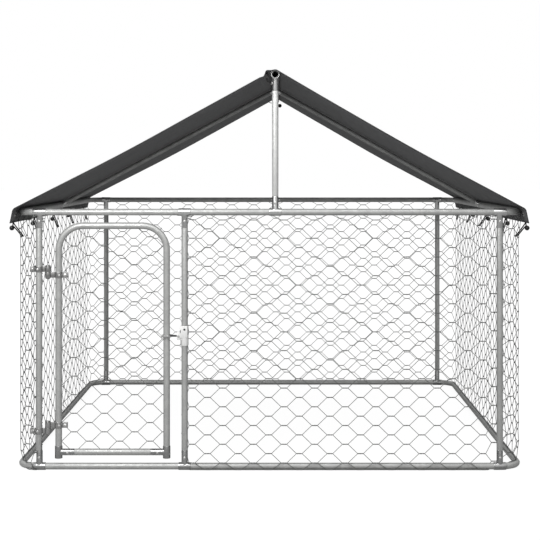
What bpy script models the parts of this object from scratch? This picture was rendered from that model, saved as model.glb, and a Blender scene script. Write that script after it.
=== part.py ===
"""Outdoor dog playpen: a square frame of galvanised tube with bent corners, hexagonal wire
netting tied to its outside, an arched gate on two clamp hinges with a fork latch, and a
pitched fabric roof over a ridge tube, held down by ball ties. Metres, +Z up, -Y is the front."""

import math

import bmesh
import bpy
from mathutils import Matrix, Vector

# Overall sizes
PEN_WIDTH = 2.000  # outside of the left rail to outside of the right rail
PEN_DEPTH = 2.000  # outside of the front rail to outside of the back rail
RAIL_SPACING = 1.000  # bottom rail centre to top rail centre
RIDGE_RISE = 0.5412  # top rail centre to ridge tube centre
RIDGE_SHIFT = 0.023  # the ridge and its poles stand this far right of the middle
DOORWAY = 0.5735  # front left post centre to middle post centre
CORNER_BEND = 0.080  # centreline radius of the rails' bent corners

# Tubes
RAIL_D = 0.026
POST_D = 0.025
POLE_D = 0.025
RIDGE_D = 0.028
RAFTER_D = 0.022
GATE_D = 0.026
WALL = 0.0012
SIDES = 12  # facets round a tube
BOLT_SIDES = 8  # facets round a small bolt
BEND_STEPS = 4  # straight chords in a quarter bend
SMOOTH_ANGLE = math.radians(38)  # edges sharper than this stay crisp
OVERCUT = 0.0010  # a cutting solid runs this far past the faces that it cuts

# Fittings
FIT = 0.0003  # gap between pieces that touch
SLEEVE_WALL = 0.0015
SLEEVE_LENGTH = 0.048
STUB_SHOWN = 0.048  # neck that shows between a sleeve and the end of the tube it plugs into
STUB_DEPTH = 0.040  # stub inside that tube
EYE_WALL = 0.0022
EYE_LENGTH = 0.040
EYE_NECK_D = 0.019
RAFTER_STUB_SHOWN = 0.012

# Gate
HINGE_REACH = 0.035  # post centre to hinge axis
GATE_HINGE_REACH = 0.042  # hinge axis to the gate's hinge side tube
GATE_WIDTH = 0.426  # centre to centre of the gate's side tubes
GATE_TOP = 0.961  # centre of the arch's top
GATE_FOOT = 0.046  # lower ends of the side tubes
GATE_BAR_HEIGHT = 0.070
GATE_BEND = 0.096
GATE_BEND_STEPS = 6

# Hinges
STRAP = 0.0025
STRAP_HEIGHT = 0.022
LEAF_GAP = 0.0010
UPPER_HINGE = 0.7785  # height of the joint between an upper leaf and a lower leaf
LOWER_HINGE = 0.1650
PIN_D = 0.012
PIN_HEAD_D = 0.020
PIN_HEAD_H = 0.004
PIN_PLAY = 0.0003
KNUCKLE_WALL = 0.0055
EAR_LENGTH = 0.020
EAR_SLOT = 0.0030
CLAMP_BOLT_D = 0.006
CLAMP_HEAD_D = 0.011
CLAMP_HEAD_H = 0.0035

# Latch
LATCH_HEIGHT = 0.527  # fork's centre
COLLAR_TOP = 0.040
COLLAR_BELOW = 0.038
COLLAR_EAR_H = 0.030
HOUSING_LEFT = 0.0185  # the latch's flat housing, from the post's centre
HOUSING_RIGHT = 0.0118
HOUSING_BELOW = 0.0075
LATCH_AXIS_REACH = 0.024  # middle post centre to the fork's pivot
FORK_CLEAR = 0.0008  # between the gate's net and the prong behind it
FORK_PRONG = 0.004
FORK_BAR = 0.007
FORK_REACH = 0.069  # pivot to the prongs' tips
FORK_HUB_D = 0.013
FORK_HUB_WIDTH = 0.016
LATCH_PIN_D = 0.006
LATCH_HEAD_D = 0.010
LATCH_HEAD_H = 0.002

# Netting
NET_WIRE = 0.0026
NET_TOP_DROP = 0.010  # net's top edge below the top rail's centre
NET_BOTTOM_RISE = 0.004  # net's bottom edge above the bottom rail's centre
NET_ROWS = 4
NET_COLUMN = 0.240  # spacing between columns of twists
NET_TWIST = 0.20  # a twist's length as a part of that spacing
GATE_NET_COLUMN = 0.14

# Roof
ROOF_OVERHANG = 0.020  # beyond the front and back rails' outsides
ROOF_SHEET = 0.0015
ROOF_SAG = 0.0085  # between the rafters and the ends
ROOF_FLAP = 0.048
FLAP_LEAN = math.radians(12)
ROOF_FOLD_CLEAR = 0.0050  # the folded hem stands off the side rails by this
ROOF_RIDGE_CLEAR = 0.0003
ROOF_SAG_RAMP = 1.6  # the sag is whole from 1 / 1.6 of the way from the middle to an end
ROOF_FOLD_STEPS = 3
ROOF_SPAN_STEPS = 4
ROOF_BAYS = 6

# Ball ties
TIES = (-0.93, -0.465, 0.0, 0.465, 0.93)  # places along a flap, as parts of its half length
TIE_CORD = 0.0042
TIE_BALL = 0.019
TIE_HOLE_RISE = 0.028  # hole's centre above the flap's edge
TIE_DROP = 0.087  # hole's centre to the cord's turn round the netting
TIE_LEAN = 0.050  # the cord's turn lies this far towards the back
TIE_BALL_DROP = 0.052
TIE_HOLE_HALF = 0.004  # half the height that the cord takes up where it goes through the flap
TIE_TURN = 0.004  # radius of the cord's turn round the netting
BALL_SEGMENTS = 8
BALL_RINGS = 5

# Places that follow from the sizes
flat = math.cos(math.pi / SIDES)
railR = RAIL_D / 2
sleeveR = (railR + FIT) + SLEEVE_WALL
eyeR = RIDGE_D / 2 + FIT + EYE_WALL
sideX = PEN_WIDTH / 2 - railR
frontY = -(PEN_DEPTH / 2 - railR)
lowZ = sleeveR * flat
highZ = lowZ + RAIL_SPACING
ridgeZ = highZ + RIDGE_RISE
roofEnd = PEN_DEPTH / 2 + ROOF_OVERHANG
postX = sideX - CORNER_BEND
railJoint = postX - SLEEVE_LENGTH / 4
midPostX = -postX + DOORWAY
hingeX = -postX + HINGE_REACH
gateLeft = hingeX + GATE_HINGE_REACH
gateRight = gateLeft + GATE_WIDTH
postY = -frontY - CORNER_BEND
netOut = max(sleeveR, POST_D / 2 + FIT + STRAP) + FIT + NET_WIRE / 2
gateNetBack = GATE_D / 2 + FIT + max(SLEEVE_WALL, STRAP) + FIT + NET_WIRE

STEEL = ("galvanised steel", (0.62, 0.62, 0.60), 0.38, 0.9)
ZINC = ("bright zinc plate", (0.86, 0.86, 0.84), 0.30, 0.9)
WIRE = ("galvanised wire", (0.55, 0.55, 0.53), 0.45, 0.8)
FABRIC = ("dark grey roof fabric", (0.075, 0.075, 0.077), 0.75, 0.0)


def clearScene():
    for obj in list(bpy.data.objects):
        bpy.data.objects.remove(obj)


def material(kind):
    """The Principled material of one kind: name, colour, roughness, metallic."""
    name, colour, roughness, metallic = kind
    found = bpy.data.materials.get(name)
    if found:
        return found
    made = bpy.data.materials.new(name)
    made.use_nodes = True
    shader = made.node_tree.nodes["Principled BSDF"]
    shader.inputs["Base Color"].default_value = (*colour, 1.0)
    shader.inputs["Roughness"].default_value = roughness
    shader.inputs["Metallic"].default_value = metallic
    made.diffuse_color = (*colour, 1.0)
    return made


def finish(mesh, kind):
    """Outward faces, smooth round surfaces with crisp edges, and the material."""
    work = bmesh.new()
    work.from_mesh(mesh)
    bmesh.ops.recalc_face_normals(work, faces=work.faces)
    work.to_mesh(mesh)
    work.free()
    mesh.materials.clear()
    mesh.materials.append(material(kind))
    mesh.shade_smooth()
    mesh.set_sharp_from_angle(angle=SMOOTH_ANGLE)
    return mesh


def place(name, mesh, at=(0, 0, 0), turn=None, parent=None):
    """An object of this mesh at a place in the world, under an optional parent empty."""
    obj = bpy.data.objects.new(name, mesh)
    bpy.context.collection.objects.link(obj)
    obj.location = Vector(at)
    if turn is not None:
        obj.rotation_euler = turn.to_euler()
    if parent is not None:
        obj.parent = parent
        obj.location = Vector(at) - parent.location
    return obj


def meshOf(name, points, faces, kind):
    mesh = bpy.data.meshes.new(name)
    mesh.from_pydata([tuple(p) for p in points], [], faces)
    return finish(mesh, kind)


def sweepRings(path, normal, radius, sides=SIDES):
    """Rings of points round a path that lies in one plane: each ring is in the plane that
    halves the turn, widened there by 1/cos(half the turn) so that the tube keeps its radius.
    A facet, not an edge, faces along the plane's normal."""
    up = Vector(normal).normalized()
    spots = [Vector(p) for p in path]
    steps = [(b - a).normalized() for a, b in zip(spots, spots[1:])]
    rings = []
    for i, spot in enumerate(spots):
        before = steps[max(i - 1, 0)]
        after = steps[min(i, len(steps) - 1)]
        along = (before + after).normalized()
        across = along.cross(up) / along.dot(before)
        angles = [(k + 0.5) * math.tau / sides for k in range(sides)]
        rings.append([spot + radius * (math.cos(a) * up + math.sin(a) * across) for a in angles])
    return rings


def ringFaces(first, count, sides):
    """Quads between successive rings whose points start at number first."""
    faces = []
    for i in range(count - 1):
        for k in range(sides):
            a = first + i * sides + k
            b = first + i * sides + (k + 1) % sides
            faces.append((a, b, b + sides, a + sides))
    return faces


def tube(name, path, normal, outer, inner=None, kind=STEEL, sides=SIDES):
    """A tube along a flat path, open at both ends, or a solid rod where inner is None."""
    rings = sweepRings(path, normal, outer, sides)
    count = len(rings)
    points = [p for ring in rings for p in ring]
    faces = ringFaces(0, count, sides)
    last = (count - 1) * sides
    if inner is None:
        faces.append(tuple(range(sides)))
        faces.append(tuple(last + k for k in range(sides)))
        return meshOf(name, points, faces, kind)
    bore = len(points)
    for ring in sweepRings(path, normal, inner, sides):
        points.extend(ring)
    faces.extend(tuple(reversed(f)) for f in ringFaces(bore, count, sides))
    for start in (0, last):
        for k in range(sides):
            n = (k + 1) % sides
            faces.append((start + k, start + n, bore + start + n, bore + start + k))
    return meshOf(name, points, faces, kind)


def straight(length, axis="Z"):
    """A straight path from the origin along an axis, and a normal across it."""
    ends = {"X": (length, 0, 0), "Y": (0, length, 0), "Z": (0, 0, length)}
    return [(0, 0, 0), ends[axis]], (0, 1, 0) if axis == "Z" else (0, 0, 1)


def bend(centre, radius, start, end, steps=BEND_STEPS):
    """Points on an arc in the XY plane, angles in degrees."""
    turns = [math.radians(start + (end - start) * i / steps) for i in range(steps + 1)]
    return [(centre[0] + radius * math.cos(a), centre[1] + radius * math.sin(a)) for a in turns]


def prism(name, outline, low, high, kind=ZINC):
    """A closed outline in the XY plane, extruded from low to high along Z."""
    work = bmesh.new()
    corners = [work.verts.new((x, y, low)) for x, y in outline]
    base = work.faces.new(corners)
    grown = bmesh.ops.extrude_face_region(work, geom=[base])
    moved = [g for g in grown["geom"] if isinstance(g, bmesh.types.BMVert)]
    bmesh.ops.translate(work, vec=(0, 0, high - low), verts=moved)
    mesh = bpy.data.meshes.new(name)
    work.to_mesh(mesh)
    work.free()
    return finish(mesh, kind)


def cylinder(name, radius, low, high, kind=ZINC, sides=SIDES):
    outline = [(radius * math.cos(a), radius * math.sin(a))
               for a in ((k + 0.5) * math.tau / sides for k in range(sides))]
    return prism(name, outline, low, high, kind)


def box(name, low, high, kind=ZINC):
    outline = [(low[0], low[1]), (high[0], low[1]), (high[0], high[1]), (low[0], high[1])]
    return prism(name, outline, low[2], high[2], kind)


def moved(mesh, at=(0, 0, 0), turn=None):
    """A copy of a mesh, turned and then moved."""
    copy = mesh.copy()
    copy.transform(Matrix.Translation(Vector(at)) @ (turn or Matrix.Identity(4)))
    return copy


def combine(name, first, others, operation, kind):
    """The exact union or difference of a mesh and a list of meshes."""
    base = bpy.data.objects.new(name, first)
    bpy.context.collection.objects.link(base)
    tools = []
    for other in others:
        tool = bpy.data.objects.new(name + "_tool", other)
        bpy.context.collection.objects.link(tool)
        step = base.modifiers.new("cut", "BOOLEAN")
        step.operation = operation
        step.solver = "EXACT"
        step.object = tool
        tools.append(tool)
    shape = base.evaluated_get(bpy.context.evaluated_depsgraph_get())
    mesh = bpy.data.meshes.new_from_object(shape)
    for obj in [base, *tools]:
        bpy.data.objects.remove(obj)
    return finish(mesh, kind)


def turnAbout(axis, degrees):
    return Matrix.Rotation(math.radians(degrees), 4, axis)


def railEnd(side):
    """A bent corner's path in the rail's plane, from a joint in the corner fitting outwards.
    side is -1 for the left end and +1 for the right. It starts along X and ends along +Y."""
    arc = bend((postX, CORNER_BEND), CORNER_BEND, -90, 0)
    return [(side * x, y, 0) for x, y in [(railJoint, 0), *arc]]


def frameRails(level, z):
    """One ring of rails: straight front and back rails between the corner posts, and side
    rails whose two ends are bent round to meet them inside the corner fittings."""
    inner = railR - WALL
    run = 2 * (railJoint - FIT)
    path, normal = straight(run, "X")
    mesh = tube(level + "_rail", path, normal, railR, inner)
    for end, y in (("front", frontY), ("back", -frontY)):
        place(f"{level}_rail_{end}", mesh, (-run / 2, y, z))
    for side, sign in (("left", -1), ("right", 1)):
        front = [(x, frontY + y, 0) for x, y, _ in railEnd(sign)]
        back = [(x, -y, 0) for x, y, _ in reversed(front)]
        mesh = tube(f"{level}_rail_{side}", front + back, (0, 0, 1), railR, inner)
        place(f"{level}_rail_{side}", mesh, (0, 0, z))


def stub(tubeD=POST_D, start=sleeveR, neckD=None, shown=STUB_SHOWN, turn=None):
    """A fitting's stub, from its sleeve's middle along +Z or as turned: a neck that shows, and
    a plug that fills the end of a tube of this diameter. The neck is as wide as the tube and
    stops just short of it, or is slender and runs on into the plug."""
    plug = tubeD / 2 - WALL - FIT
    seat = start + shown
    if neckD:
        rods = [cylinder("neck", neckD / 2, 0, seat + FIT + WALL, STEEL),
                cylinder("plug", plug, seat + FIT, seat + STUB_DEPTH, STEEL)]
    else:
        rods = [cylinder("neck", tubeD / 2, 0, seat - FIT, STEEL),
                cylinder("plug", plug, seat - WALL, seat + STUB_DEPTH, STEEL)]
    return [moved(rod, turn=turn) for rod in rods]


def fitting(name, path, normal, hold, wall, rods):
    """A sleeve along a path round a tube of radius hold, with stubs joined to it."""
    outer = tube(name, path, normal, hold + FIT + wall)
    body = combine(name, outer, rods, "UNION", STEEL)
    ends = [Vector(p) for p in path]
    first = ends[0] + (ends[0] - ends[1]).normalized() * OVERCUT
    last = ends[-1] + (ends[-1] - ends[-2]).normalized() * OVERCUT
    bore = tube(name, [first, *ends[1:-1], last], normal, hold + FIT)
    return combine(name, body, [bore], "DIFFERENCE", STEEL)


def straightTee():
    path = [(-SLEEVE_LENGTH / 2, 0, 0), (SLEEVE_LENGTH / 2, 0, 0)]
    return fitting("tee", path, (0, 0, 1), railR, SLEEVE_WALL, stub())


def cornerTee(side):
    """A tee on a front corner post: its sleeve follows the rail into the bend."""
    start, first = (Vector(p) for p in railEnd(side)[1:3])
    tip = start + (first - start).normalized() * SLEEVE_LENGTH / 2
    path = [Vector((-side * SLEEVE_LENGTH / 2, 0, 0)), Vector((0, 0, 0)), tip - start]
    return fitting("corner_tee", path, (0, 0, 1), railR, SLEEVE_WALL, stub())


def postFittings(tee):
    """A fitting at each end of each post. Half a turn takes a front corner's fitting to the
    corner diagonally opposite, and a top fitting is a bottom one upside down."""
    bent = {-1: cornerTee(-1), 1: cornerTee(1)}
    half = turnAbout("Z", 180)
    over = turnAbout("X", 180)
    level = Matrix.Identity(4)
    for end, y in (("front", -1), ("back", 1)):
        for side, x in (("left", -1), ("right", 1)):
            spot = (x * postX, -y * frontY)
            foot = (bent[x], level) if y < 0 else (bent[-x], half)
            head = (bent[-x], over @ half) if y < 0 else (bent[x], over)
            place(f"foot_fitting_{end}_{side}", foot[0], (*spot, lowZ), foot[1])
            place(f"head_fitting_{end}_{side}", head[0], (*spot, highZ), head[1])
    place("foot_fitting_front_middle", tee, (midPostX, frontY, lowZ))
    place("head_fitting_front_middle", tee, (midPostX, frontY, highZ), over)


def posts():
    foot = sleeveR + STUB_SHOWN
    path, normal = straight(RAIL_SPACING - 2 * foot)
    mesh = tube("post", path, normal, POST_D / 2, POST_D / 2 - WALL)
    for name, x, y in (("post_front_left", -postX, frontY), ("post_front_middle", midPostX, frontY),
                       ("post_front_right", postX, frontY), ("post_back_left", -postX, -frontY),
                       ("post_back_right", postX, -frontY)):
        place(name, mesh, (x, y, lowZ + foot))


def ridgeEye():
    """A pole's top fitting: an eye round the ridge tube with a thinner neck below it."""
    path = [(0, -EYE_LENGTH / 2, 0), (0, EYE_LENGTH / 2, 0)]
    rods = stub(POLE_D, eyeR, EYE_NECK_D, turn=turnAbout("X", 180))
    return fitting("eye", path, (0, 0, 1), RIDGE_D / 2, EYE_WALL, rods)


def ridge(tee):
    """Ridge tube, the two poles that carry it, and their fittings."""
    eye = ridgeEye()
    foot = highZ + sleeveR + STUB_SHOWN
    path, normal = straight(ridgeZ - eyeR - STUB_SHOWN - foot)
    pole = tube("pole", path, normal, POLE_D / 2, POLE_D / 2 - WALL)
    for end, y in (("front", frontY), ("back", -frontY)):
        place(f"pole_foot_{end}", tee, (RIDGE_SHIFT, y, highZ))
        place(f"pole_{end}", pole, (RIDGE_SHIFT, y, foot))
        place(f"ridge_eye_{end}", eye, (RIDGE_SHIFT, y, ridgeZ))
    length = -2 * frontY + EYE_LENGTH
    path, normal = straight(length, "Y")
    tubeMesh = tube("ridge", path, normal, RIDGE_D / 2, RIDGE_D / 2 - WALL)
    place("ridge_tube", tubeMesh, (RIDGE_SHIFT, -length / 2, ridgeZ))


def rafters():
    """Two rafters at mid depth, on stubs of saddles on the side rails and of a fitting on
    the ridge tube."""
    along = [(0, -SLEEVE_LENGTH / 2, 0), (0, SLEEVE_LENGTH / 2, 0)]
    head = Vector((RIDGE_SHIFT, 0, ridgeZ))
    rods = []
    for side, sign in (("left", -1), ("right", 1)):
        foot = Vector((sign * sideX, 0, highZ))
        slope = (head - foot).normalized()
        tilt = math.degrees(math.atan2(slope.x, slope.z))
        upward = turnAbout("Y", tilt)
        lower = stub(RAFTER_D, sleeveR, shown=RAFTER_STUB_SHOWN, turn=upward)
        saddle = fitting("saddle", along, (0, 0, 1), railR, SLEEVE_WALL, lower)
        place(f"rafter_saddle_{side}", saddle, foot)
        rods += stub(RAFTER_D, eyeR, shown=RAFTER_STUB_SHOWN, turn=turnAbout("Y", tilt + 180))
        start = sleeveR + RAFTER_STUB_SHOWN
        length = (head - foot).length - start - eyeR - RAFTER_STUB_SHOWN
        path, normal = straight(length)
        mesh = tube("rafter", path, normal, RAFTER_D / 2, RAFTER_D / 2 - WALL)
        place(f"rafter_{side}", mesh, foot + slope * start, upward)
    joint = fitting("rafter_joint", along, (0, 0, 1), RIDGE_D / 2, EYE_WALL, rods)
    place("rafter_joint", joint, head)


def gateFrame(axis):
    """The arched side tube, the bottom bar and the two tees that join them."""
    arch = GATE_TOP - GATE_BEND
    quarter = bend((GATE_WIDTH / 2 - GATE_BEND, arch), GATE_BEND, 0, 90, GATE_BEND_STEPS)
    left = [(-x, z) for x, z in quarter]
    right = [(-x, z) for x, z in reversed(left)]
    outline = [(-GATE_WIDTH / 2, GATE_FOOT), *left, *right, (GATE_WIDTH / 2, GATE_FOOT)]
    middle = (gateLeft + gateRight) / 2
    path = [(x, 0, z) for x, z in outline]
    mesh = tube("gate_arch", path, (0, 1, 0), GATE_D / 2, GATE_D / 2 - WALL)
    place("gate_arch", mesh, (middle, frontY, 0), parent=axis)
    reach = GATE_D / 2 + FIT + SLEEVE_WALL + STUB_SHOWN
    path, normal = straight(GATE_WIDTH - 2 * reach, "X")
    bar = tube("gate_bar", path, normal, GATE_D / 2, GATE_D / 2 - WALL)
    place("gate_bar", bar, (gateLeft + reach, frontY, GATE_BAR_HEIGHT), parent=axis)
    half = GATE_BAR_HEIGHT - GATE_FOOT
    for side, sign, x in (("left", 1, gateLeft), ("right", -1, gateRight)):
        rods = stub(GATE_D, GATE_D / 2 + FIT + SLEEVE_WALL, turn=turnAbout("Y", 90 * sign))
        tee = fitting("gate_tee", [(0, 0, -half), (0, 0, half)], (0, 1, 0), GATE_D / 2, SLEEVE_WALL,
                      rods)
        place(f"gate_tee_{side}", tee, (x, frontY, GATE_BAR_HEIGHT), parent=axis)


def hingeLeaf(name, tubeR, reach):
    """One strap of a hinge, its tube at the origin and its pin at +X reach: a band round the
    tube, two bolted ears on the far side and a knuckle round the pin."""
    hold = tubeR + FIT
    band = hold + STRAP
    pinHole = PIN_D / 2 + PIN_PLAY
    knuckle = pinHole + KNUCKLE_WALL
    low, high = 0, STRAP_HEIGHT
    ears = box(name, (-band - EAR_LENGTH, -EAR_SLOT / 2 - STRAP, low), (0, EAR_SLOT / 2 + STRAP, high))
    web = box(name, (0, -STRAP / 2, low), (reach, STRAP / 2, high))
    pinRing = moved(cylinder(name, knuckle, low, high), (reach, 0, 0))
    body = combine(name, cylinder(name, band, low, high), [ears, web, pinRing], "UNION", ZINC)
    under, over = low - OVERCUT, high + OVERCUT
    bore = cylinder(name, hold, under, over)
    hole = moved(cylinder(name, pinHole, under, over), (reach, 0, 0))
    slot = box(name, (-band - EAR_LENGTH - OVERCUT, -EAR_SLOT / 2, under),
               (-hold / 2, EAR_SLOT / 2, over))
    cross = moved(cylinder(name, CLAMP_BOLT_D / 2 + FIT, -band, band), earMiddle(tubeR),
                  turnAbout("X", 90))
    return combine(name, body, [bore, hole, slot, cross], "DIFFERENCE", ZINC)


def earMiddle(tubeR):
    """Centre of the clamp bolt in a leaf whose tube is at the origin."""
    return (-(tubeR + FIT + STRAP) - EAR_LENGTH / 2, 0, STRAP_HEIGHT / 2)


def clampBolt():
    """A short bolt along Y through both ears, with a round head and a hexagon nut."""
    grip = EAR_SLOT / 2 + STRAP + FIT
    shank = cylinder("bolt", CLAMP_BOLT_D / 2, -grip - CLAMP_HEAD_H / 2, grip + CLAMP_HEAD_H / 2,
                     sides=BOLT_SIDES)
    head = cylinder("head", CLAMP_HEAD_D / 2, grip, grip + CLAMP_HEAD_H, sides=BOLT_SIDES)
    nut = cylinder("nut", CLAMP_HEAD_D / 2, -grip - CLAMP_HEAD_H, -grip, sides=6)
    bolt = combine("clamp_bolt", shank, [head, nut], "UNION", ZINC)
    return moved(bolt, turn=turnAbout("X", 90))


def hinges(axis):
    """Two hinges. The upper one has the post's leaf above the gate's leaf and the lower one
    the other way up, so the gate can't be lifted off."""
    postLeaf = hingeLeaf("post_leaf", POST_D / 2, HINGE_REACH)
    gateLeaf = moved(hingeLeaf("gate_leaf", GATE_D / 2, GATE_HINGE_REACH), turn=turnAbout("Z", 180))
    bolt = clampBolt()
    pin = hingePin()
    above = LEAF_GAP / 2
    below = -LEAF_GAP / 2 - STRAP_HEIGHT
    postEar = Vector(earMiddle(POST_D / 2))
    gateEar = Vector(earMiddle(GATE_D / 2))
    gateEar.x *= -1
    for name, z, postUp in (("upper", UPPER_HINGE, True), ("lower", LOWER_HINGE, False)):
        postAt = Vector((-postX, frontY, z + (above if postUp else below)))
        gateAt = Vector((gateLeft, frontY, z + (below if postUp else above)))
        place(f"hinge_{name}_post_leaf", postLeaf, postAt)
        place(f"hinge_{name}_post_bolt", bolt, postAt + postEar)
        place(f"hinge_{name}_gate_leaf", gateLeaf, gateAt, parent=axis)
        place(f"hinge_{name}_gate_bolt", bolt, gateAt + gateEar, parent=axis)
        place(f"hinge_{name}_pin", pin, (hingeX, frontY, z))


def hingePin():
    """A headed pin through both knuckles, with its washer-faced nut below."""
    half = LEAF_GAP / 2 + STRAP_HEIGHT + FIT
    rod = cylinder("pin", PIN_D / 2, -half - PIN_HEAD_H / 2, half + PIN_HEAD_H / 2)
    head = cylinder("pin", PIN_HEAD_D / 2, half, half + PIN_HEAD_H)
    nut = cylinder("pin", PIN_HEAD_D / 2, -half - PIN_HEAD_H, -half, sides=6)
    return combine("hinge_pin", rod, [head, nut], "UNION", ZINC)


def latch():
    """The fork latch: a collar clamped on the middle post, with a flat housing in front, and a
    fork that pivots on it and drops over the gate's tube."""
    hold = POST_D / 2 + FIT
    band = hold + STRAP
    ear = FORK_HUB_WIDTH / 2 + FIT
    tip = LATCH_AXIS_REACH + FORK_HUB_D / 2
    collar = cylinder("latch_collar", band, -COLLAR_BELOW, COLLAR_TOP)
    cheeks = [box("cheek", (-tip, s * ear + min(s, 0) * STRAP, -COLLAR_EAR_H / 2),
                  (-hold / 2, s * ear + max(s, 0) * STRAP, COLLAR_EAR_H / 2)) for s in (-1, 1)]
    housing = box("housing", (-HOUSING_LEFT, -band, -HOUSING_BELOW),
                  (HOUSING_RIGHT, -ear, COLLAR_TOP - FIT))
    body = combine("latch_collar", collar, [*cheeks, housing], "UNION", ZINC)
    bore = cylinder("bore", hold, -COLLAR_BELOW - OVERCUT, COLLAR_TOP + OVERCUT)
    pivot = (-LATCH_AXIS_REACH, 0, 0)
    eye = moved(cylinder("eye", LATCH_PIN_D / 2 + FIT, -band, band), pivot, turnAbout("X", 90))
    body = combine("latch_collar", body, [bore, eye], "DIFFERENCE", ZINC)
    at = Vector((midPostX, frontY, LATCH_HEIGHT))
    place("latch_collar", body, at)
    grip = ear + STRAP + FIT
    rod = cylinder("latch_pin", LATCH_PIN_D / 2, -grip - FIT, grip + FIT)
    heads = [cylinder("latch_pin", LATCH_HEAD_D / 2, *span)
             for span in ((grip, grip + LATCH_HEAD_H), (-grip - LATCH_HEAD_H, -grip))]
    pin = moved(combine("latch_pin", rod, heads, "UNION", ZINC), turn=turnAbout("X", 90))
    pivotAt = at + Vector(pivot)
    place("latch_pin", pin, pivotAt)
    axis = bpy.data.objects.new("latch_axis", None)
    bpy.context.collection.objects.link(axis)
    axis.location = pivotAt
    place("latch_fork", forkMesh(), pivotAt, parent=axis)


def forkMesh():
    """The fork, its pivot at the origin and its prongs towards -X: a hub between the collar's
    cheeks, an arm, a cross bar and two prongs that straddle the gate's tube."""
    tipX = -FORK_REACH
    gateX = gateRight - (midPostX - LATCH_AXIS_REACH)
    crossX = gateX + GATE_D / 2 + 2 * FORK_CLEAR
    bar = FORK_BAR
    prong = FORK_PRONG
    inner = gateNetBack + FORK_CLEAR
    half = inner + prong
    outline = [(0, -bar / 2), (0, bar / 2), (crossX + bar, bar / 2), (crossX + bar, half)]
    outline += [(tipX + prong, half), (tipX, half - prong / 2), (tipX + prong / 2, inner)]
    outline += [(crossX, inner), (crossX, -inner), (tipX + prong / 2, -inner)]
    outline += [(tipX, -half + prong / 2), (tipX + prong, -half), (crossX + bar, -half)]
    outline += [(crossX + bar, -bar / 2)]
    arms = prism("latch_fork", outline, -bar / 2, bar / 2)
    hub = moved(cylinder("hub", FORK_HUB_D / 2, -FORK_HUB_WIDTH / 2, FORK_HUB_WIDTH / 2),
                turn=turnAbout("X", 90))
    body = combine("latch_fork", arms, [hub], "UNION", ZINC)
    eye = moved(cylinder("eye", LATCH_PIN_D / 2 + FIT, -half, half), turn=turnAbout("X", 90))
    return combine("latch_fork", body, [eye], "DIFFERENCE", ZINC)


def netCells(columns, rows, rounded=False):
    """The gaps of a hexagonal net as polygons of (across, up) points, counter-clockwise.
    columns are the places of the columns of twists and rows the heights of their rows. Odd
    columns' twists lie half a row between. The net's edges are straight wires, so half gaps
    lie along them. Where the edges are to be bent, each gap has a point more on them."""
    last = len(columns) - 1
    gaps = [b - a for a, b in zip(columns, columns[1:])]
    twist = [NET_TWIST / 2 * min(gaps[max(i - 1, 0):i + 1]) for i in range(last + 1)]

    def level(v):
        v = min(max(v, 0), len(rows) - 1)
        i = min(int(v), len(rows) - 2)
        return rows[i] + (rows[i + 1] - rows[i]) * (v - i)

    cells = []
    for i, x in enumerate(columns):
        shift = 0.0 if i % 2 == 0 else -0.5
        for row in range(len(rows) - 1 + i % 2):
            lowest, highest = row + shift < 0, row + 1 + shift > len(rows) - 1
            side = level(0 if lowest else (len(rows) - 1 if highest else row + shift + 0.5))
            low, high = level(row + shift), level(row + 1 + shift)
            left = x - twist[i] if i > 0 else x
            right = x + twist[i] if i < last else x
            bottom = [(x, low)] if lowest else sorted({(left, low), (right, low)})
            top = [(x, high)] if highest else sorted({(left, high), (right, high)}, reverse=True)
            cell = list(bottom)
            if i < last:
                cell.append((columns[i + 1] - twist[i + 1], side))
            elif rounded:
                cell.append((x, (low + high) / 2))
            cell += top
            if i > 0:
                cell.append((columns[i - 1] + twist[i - 1], side))
            elif rounded:
                cell.append((x, (low + high) / 2))
            cells.append(cell)
    return cells


def inset(polygon, amount):
    """The polygon's corners moved inward, to where its sides meet once each is moved in."""
    out = []
    count = len(polygon)
    for i in range(count):
        here = Vector(polygon[i])
        before = (here - Vector(polygon[i - 1])).normalized()
        after = (Vector(polygon[(i + 1) % count]) - here).normalized()
        n1 = Vector((-before.y, before.x))
        n2 = Vector((-after.y, after.x))
        out.append(here + (n1 + n2) * (amount / (1 + n1.dot(n2))))
    return out


def net(name, columns, rows, where, rounded=False):
    """A net of four-sided wires: the corners of each gap lie half a wire inside its wires'
    middle lines, and are joined to a ridge in front of these and one behind. where maps
    (across, up, out) to a place."""
    half = NET_WIRE / 2
    points, faces, ridges = [], [], {}

    def key(spot):
        return (round(spot[0], 6), round(spot[1], 6))

    def ridgeAt(spot):
        if key(spot) not in ridges:
            ridges[key(spot)] = len(points)
            points.extend(where(*spot, out) for out in (half, -half))
        return ridges[key(spot)]

    def addGap(polygon):
        first = len(points)
        count = len(polygon)
        points.extend(where(p.x, p.y, 0) for p in inset(polygon, half))
        for i in range(count):
            j = (i + 1) % count
            a, b = ridgeAt(polygon[i]), ridgeAt(polygon[j])
            faces.append((a, b, first + j, first + i))
            faces.append((a + 1, first + i, first + j, b + 1))

    cells = netCells(columns, rows, rounded)
    sides = {(key(a), key(b)) for cell in cells for a, b in zip(cell, cell[1:] + cell[:1])}
    for cell in cells:
        addGap(cell)
    border = {b: a for a, b in sides if (b, a) not in sides}
    loop = [key((columns[0], rows[0]))]
    while len(loop) < len(border):
        loop.append(border[loop[-1]])
    addGap(loop)
    return meshOf(name, points, faces, WIRE)


def evenly(start, end, widest):
    """Places from start to end, without the end, in equal steps near the widest."""
    count = max(1, round((end - start) / widest))
    return [start + (end - start) * i / count for i in range(count)]


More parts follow.
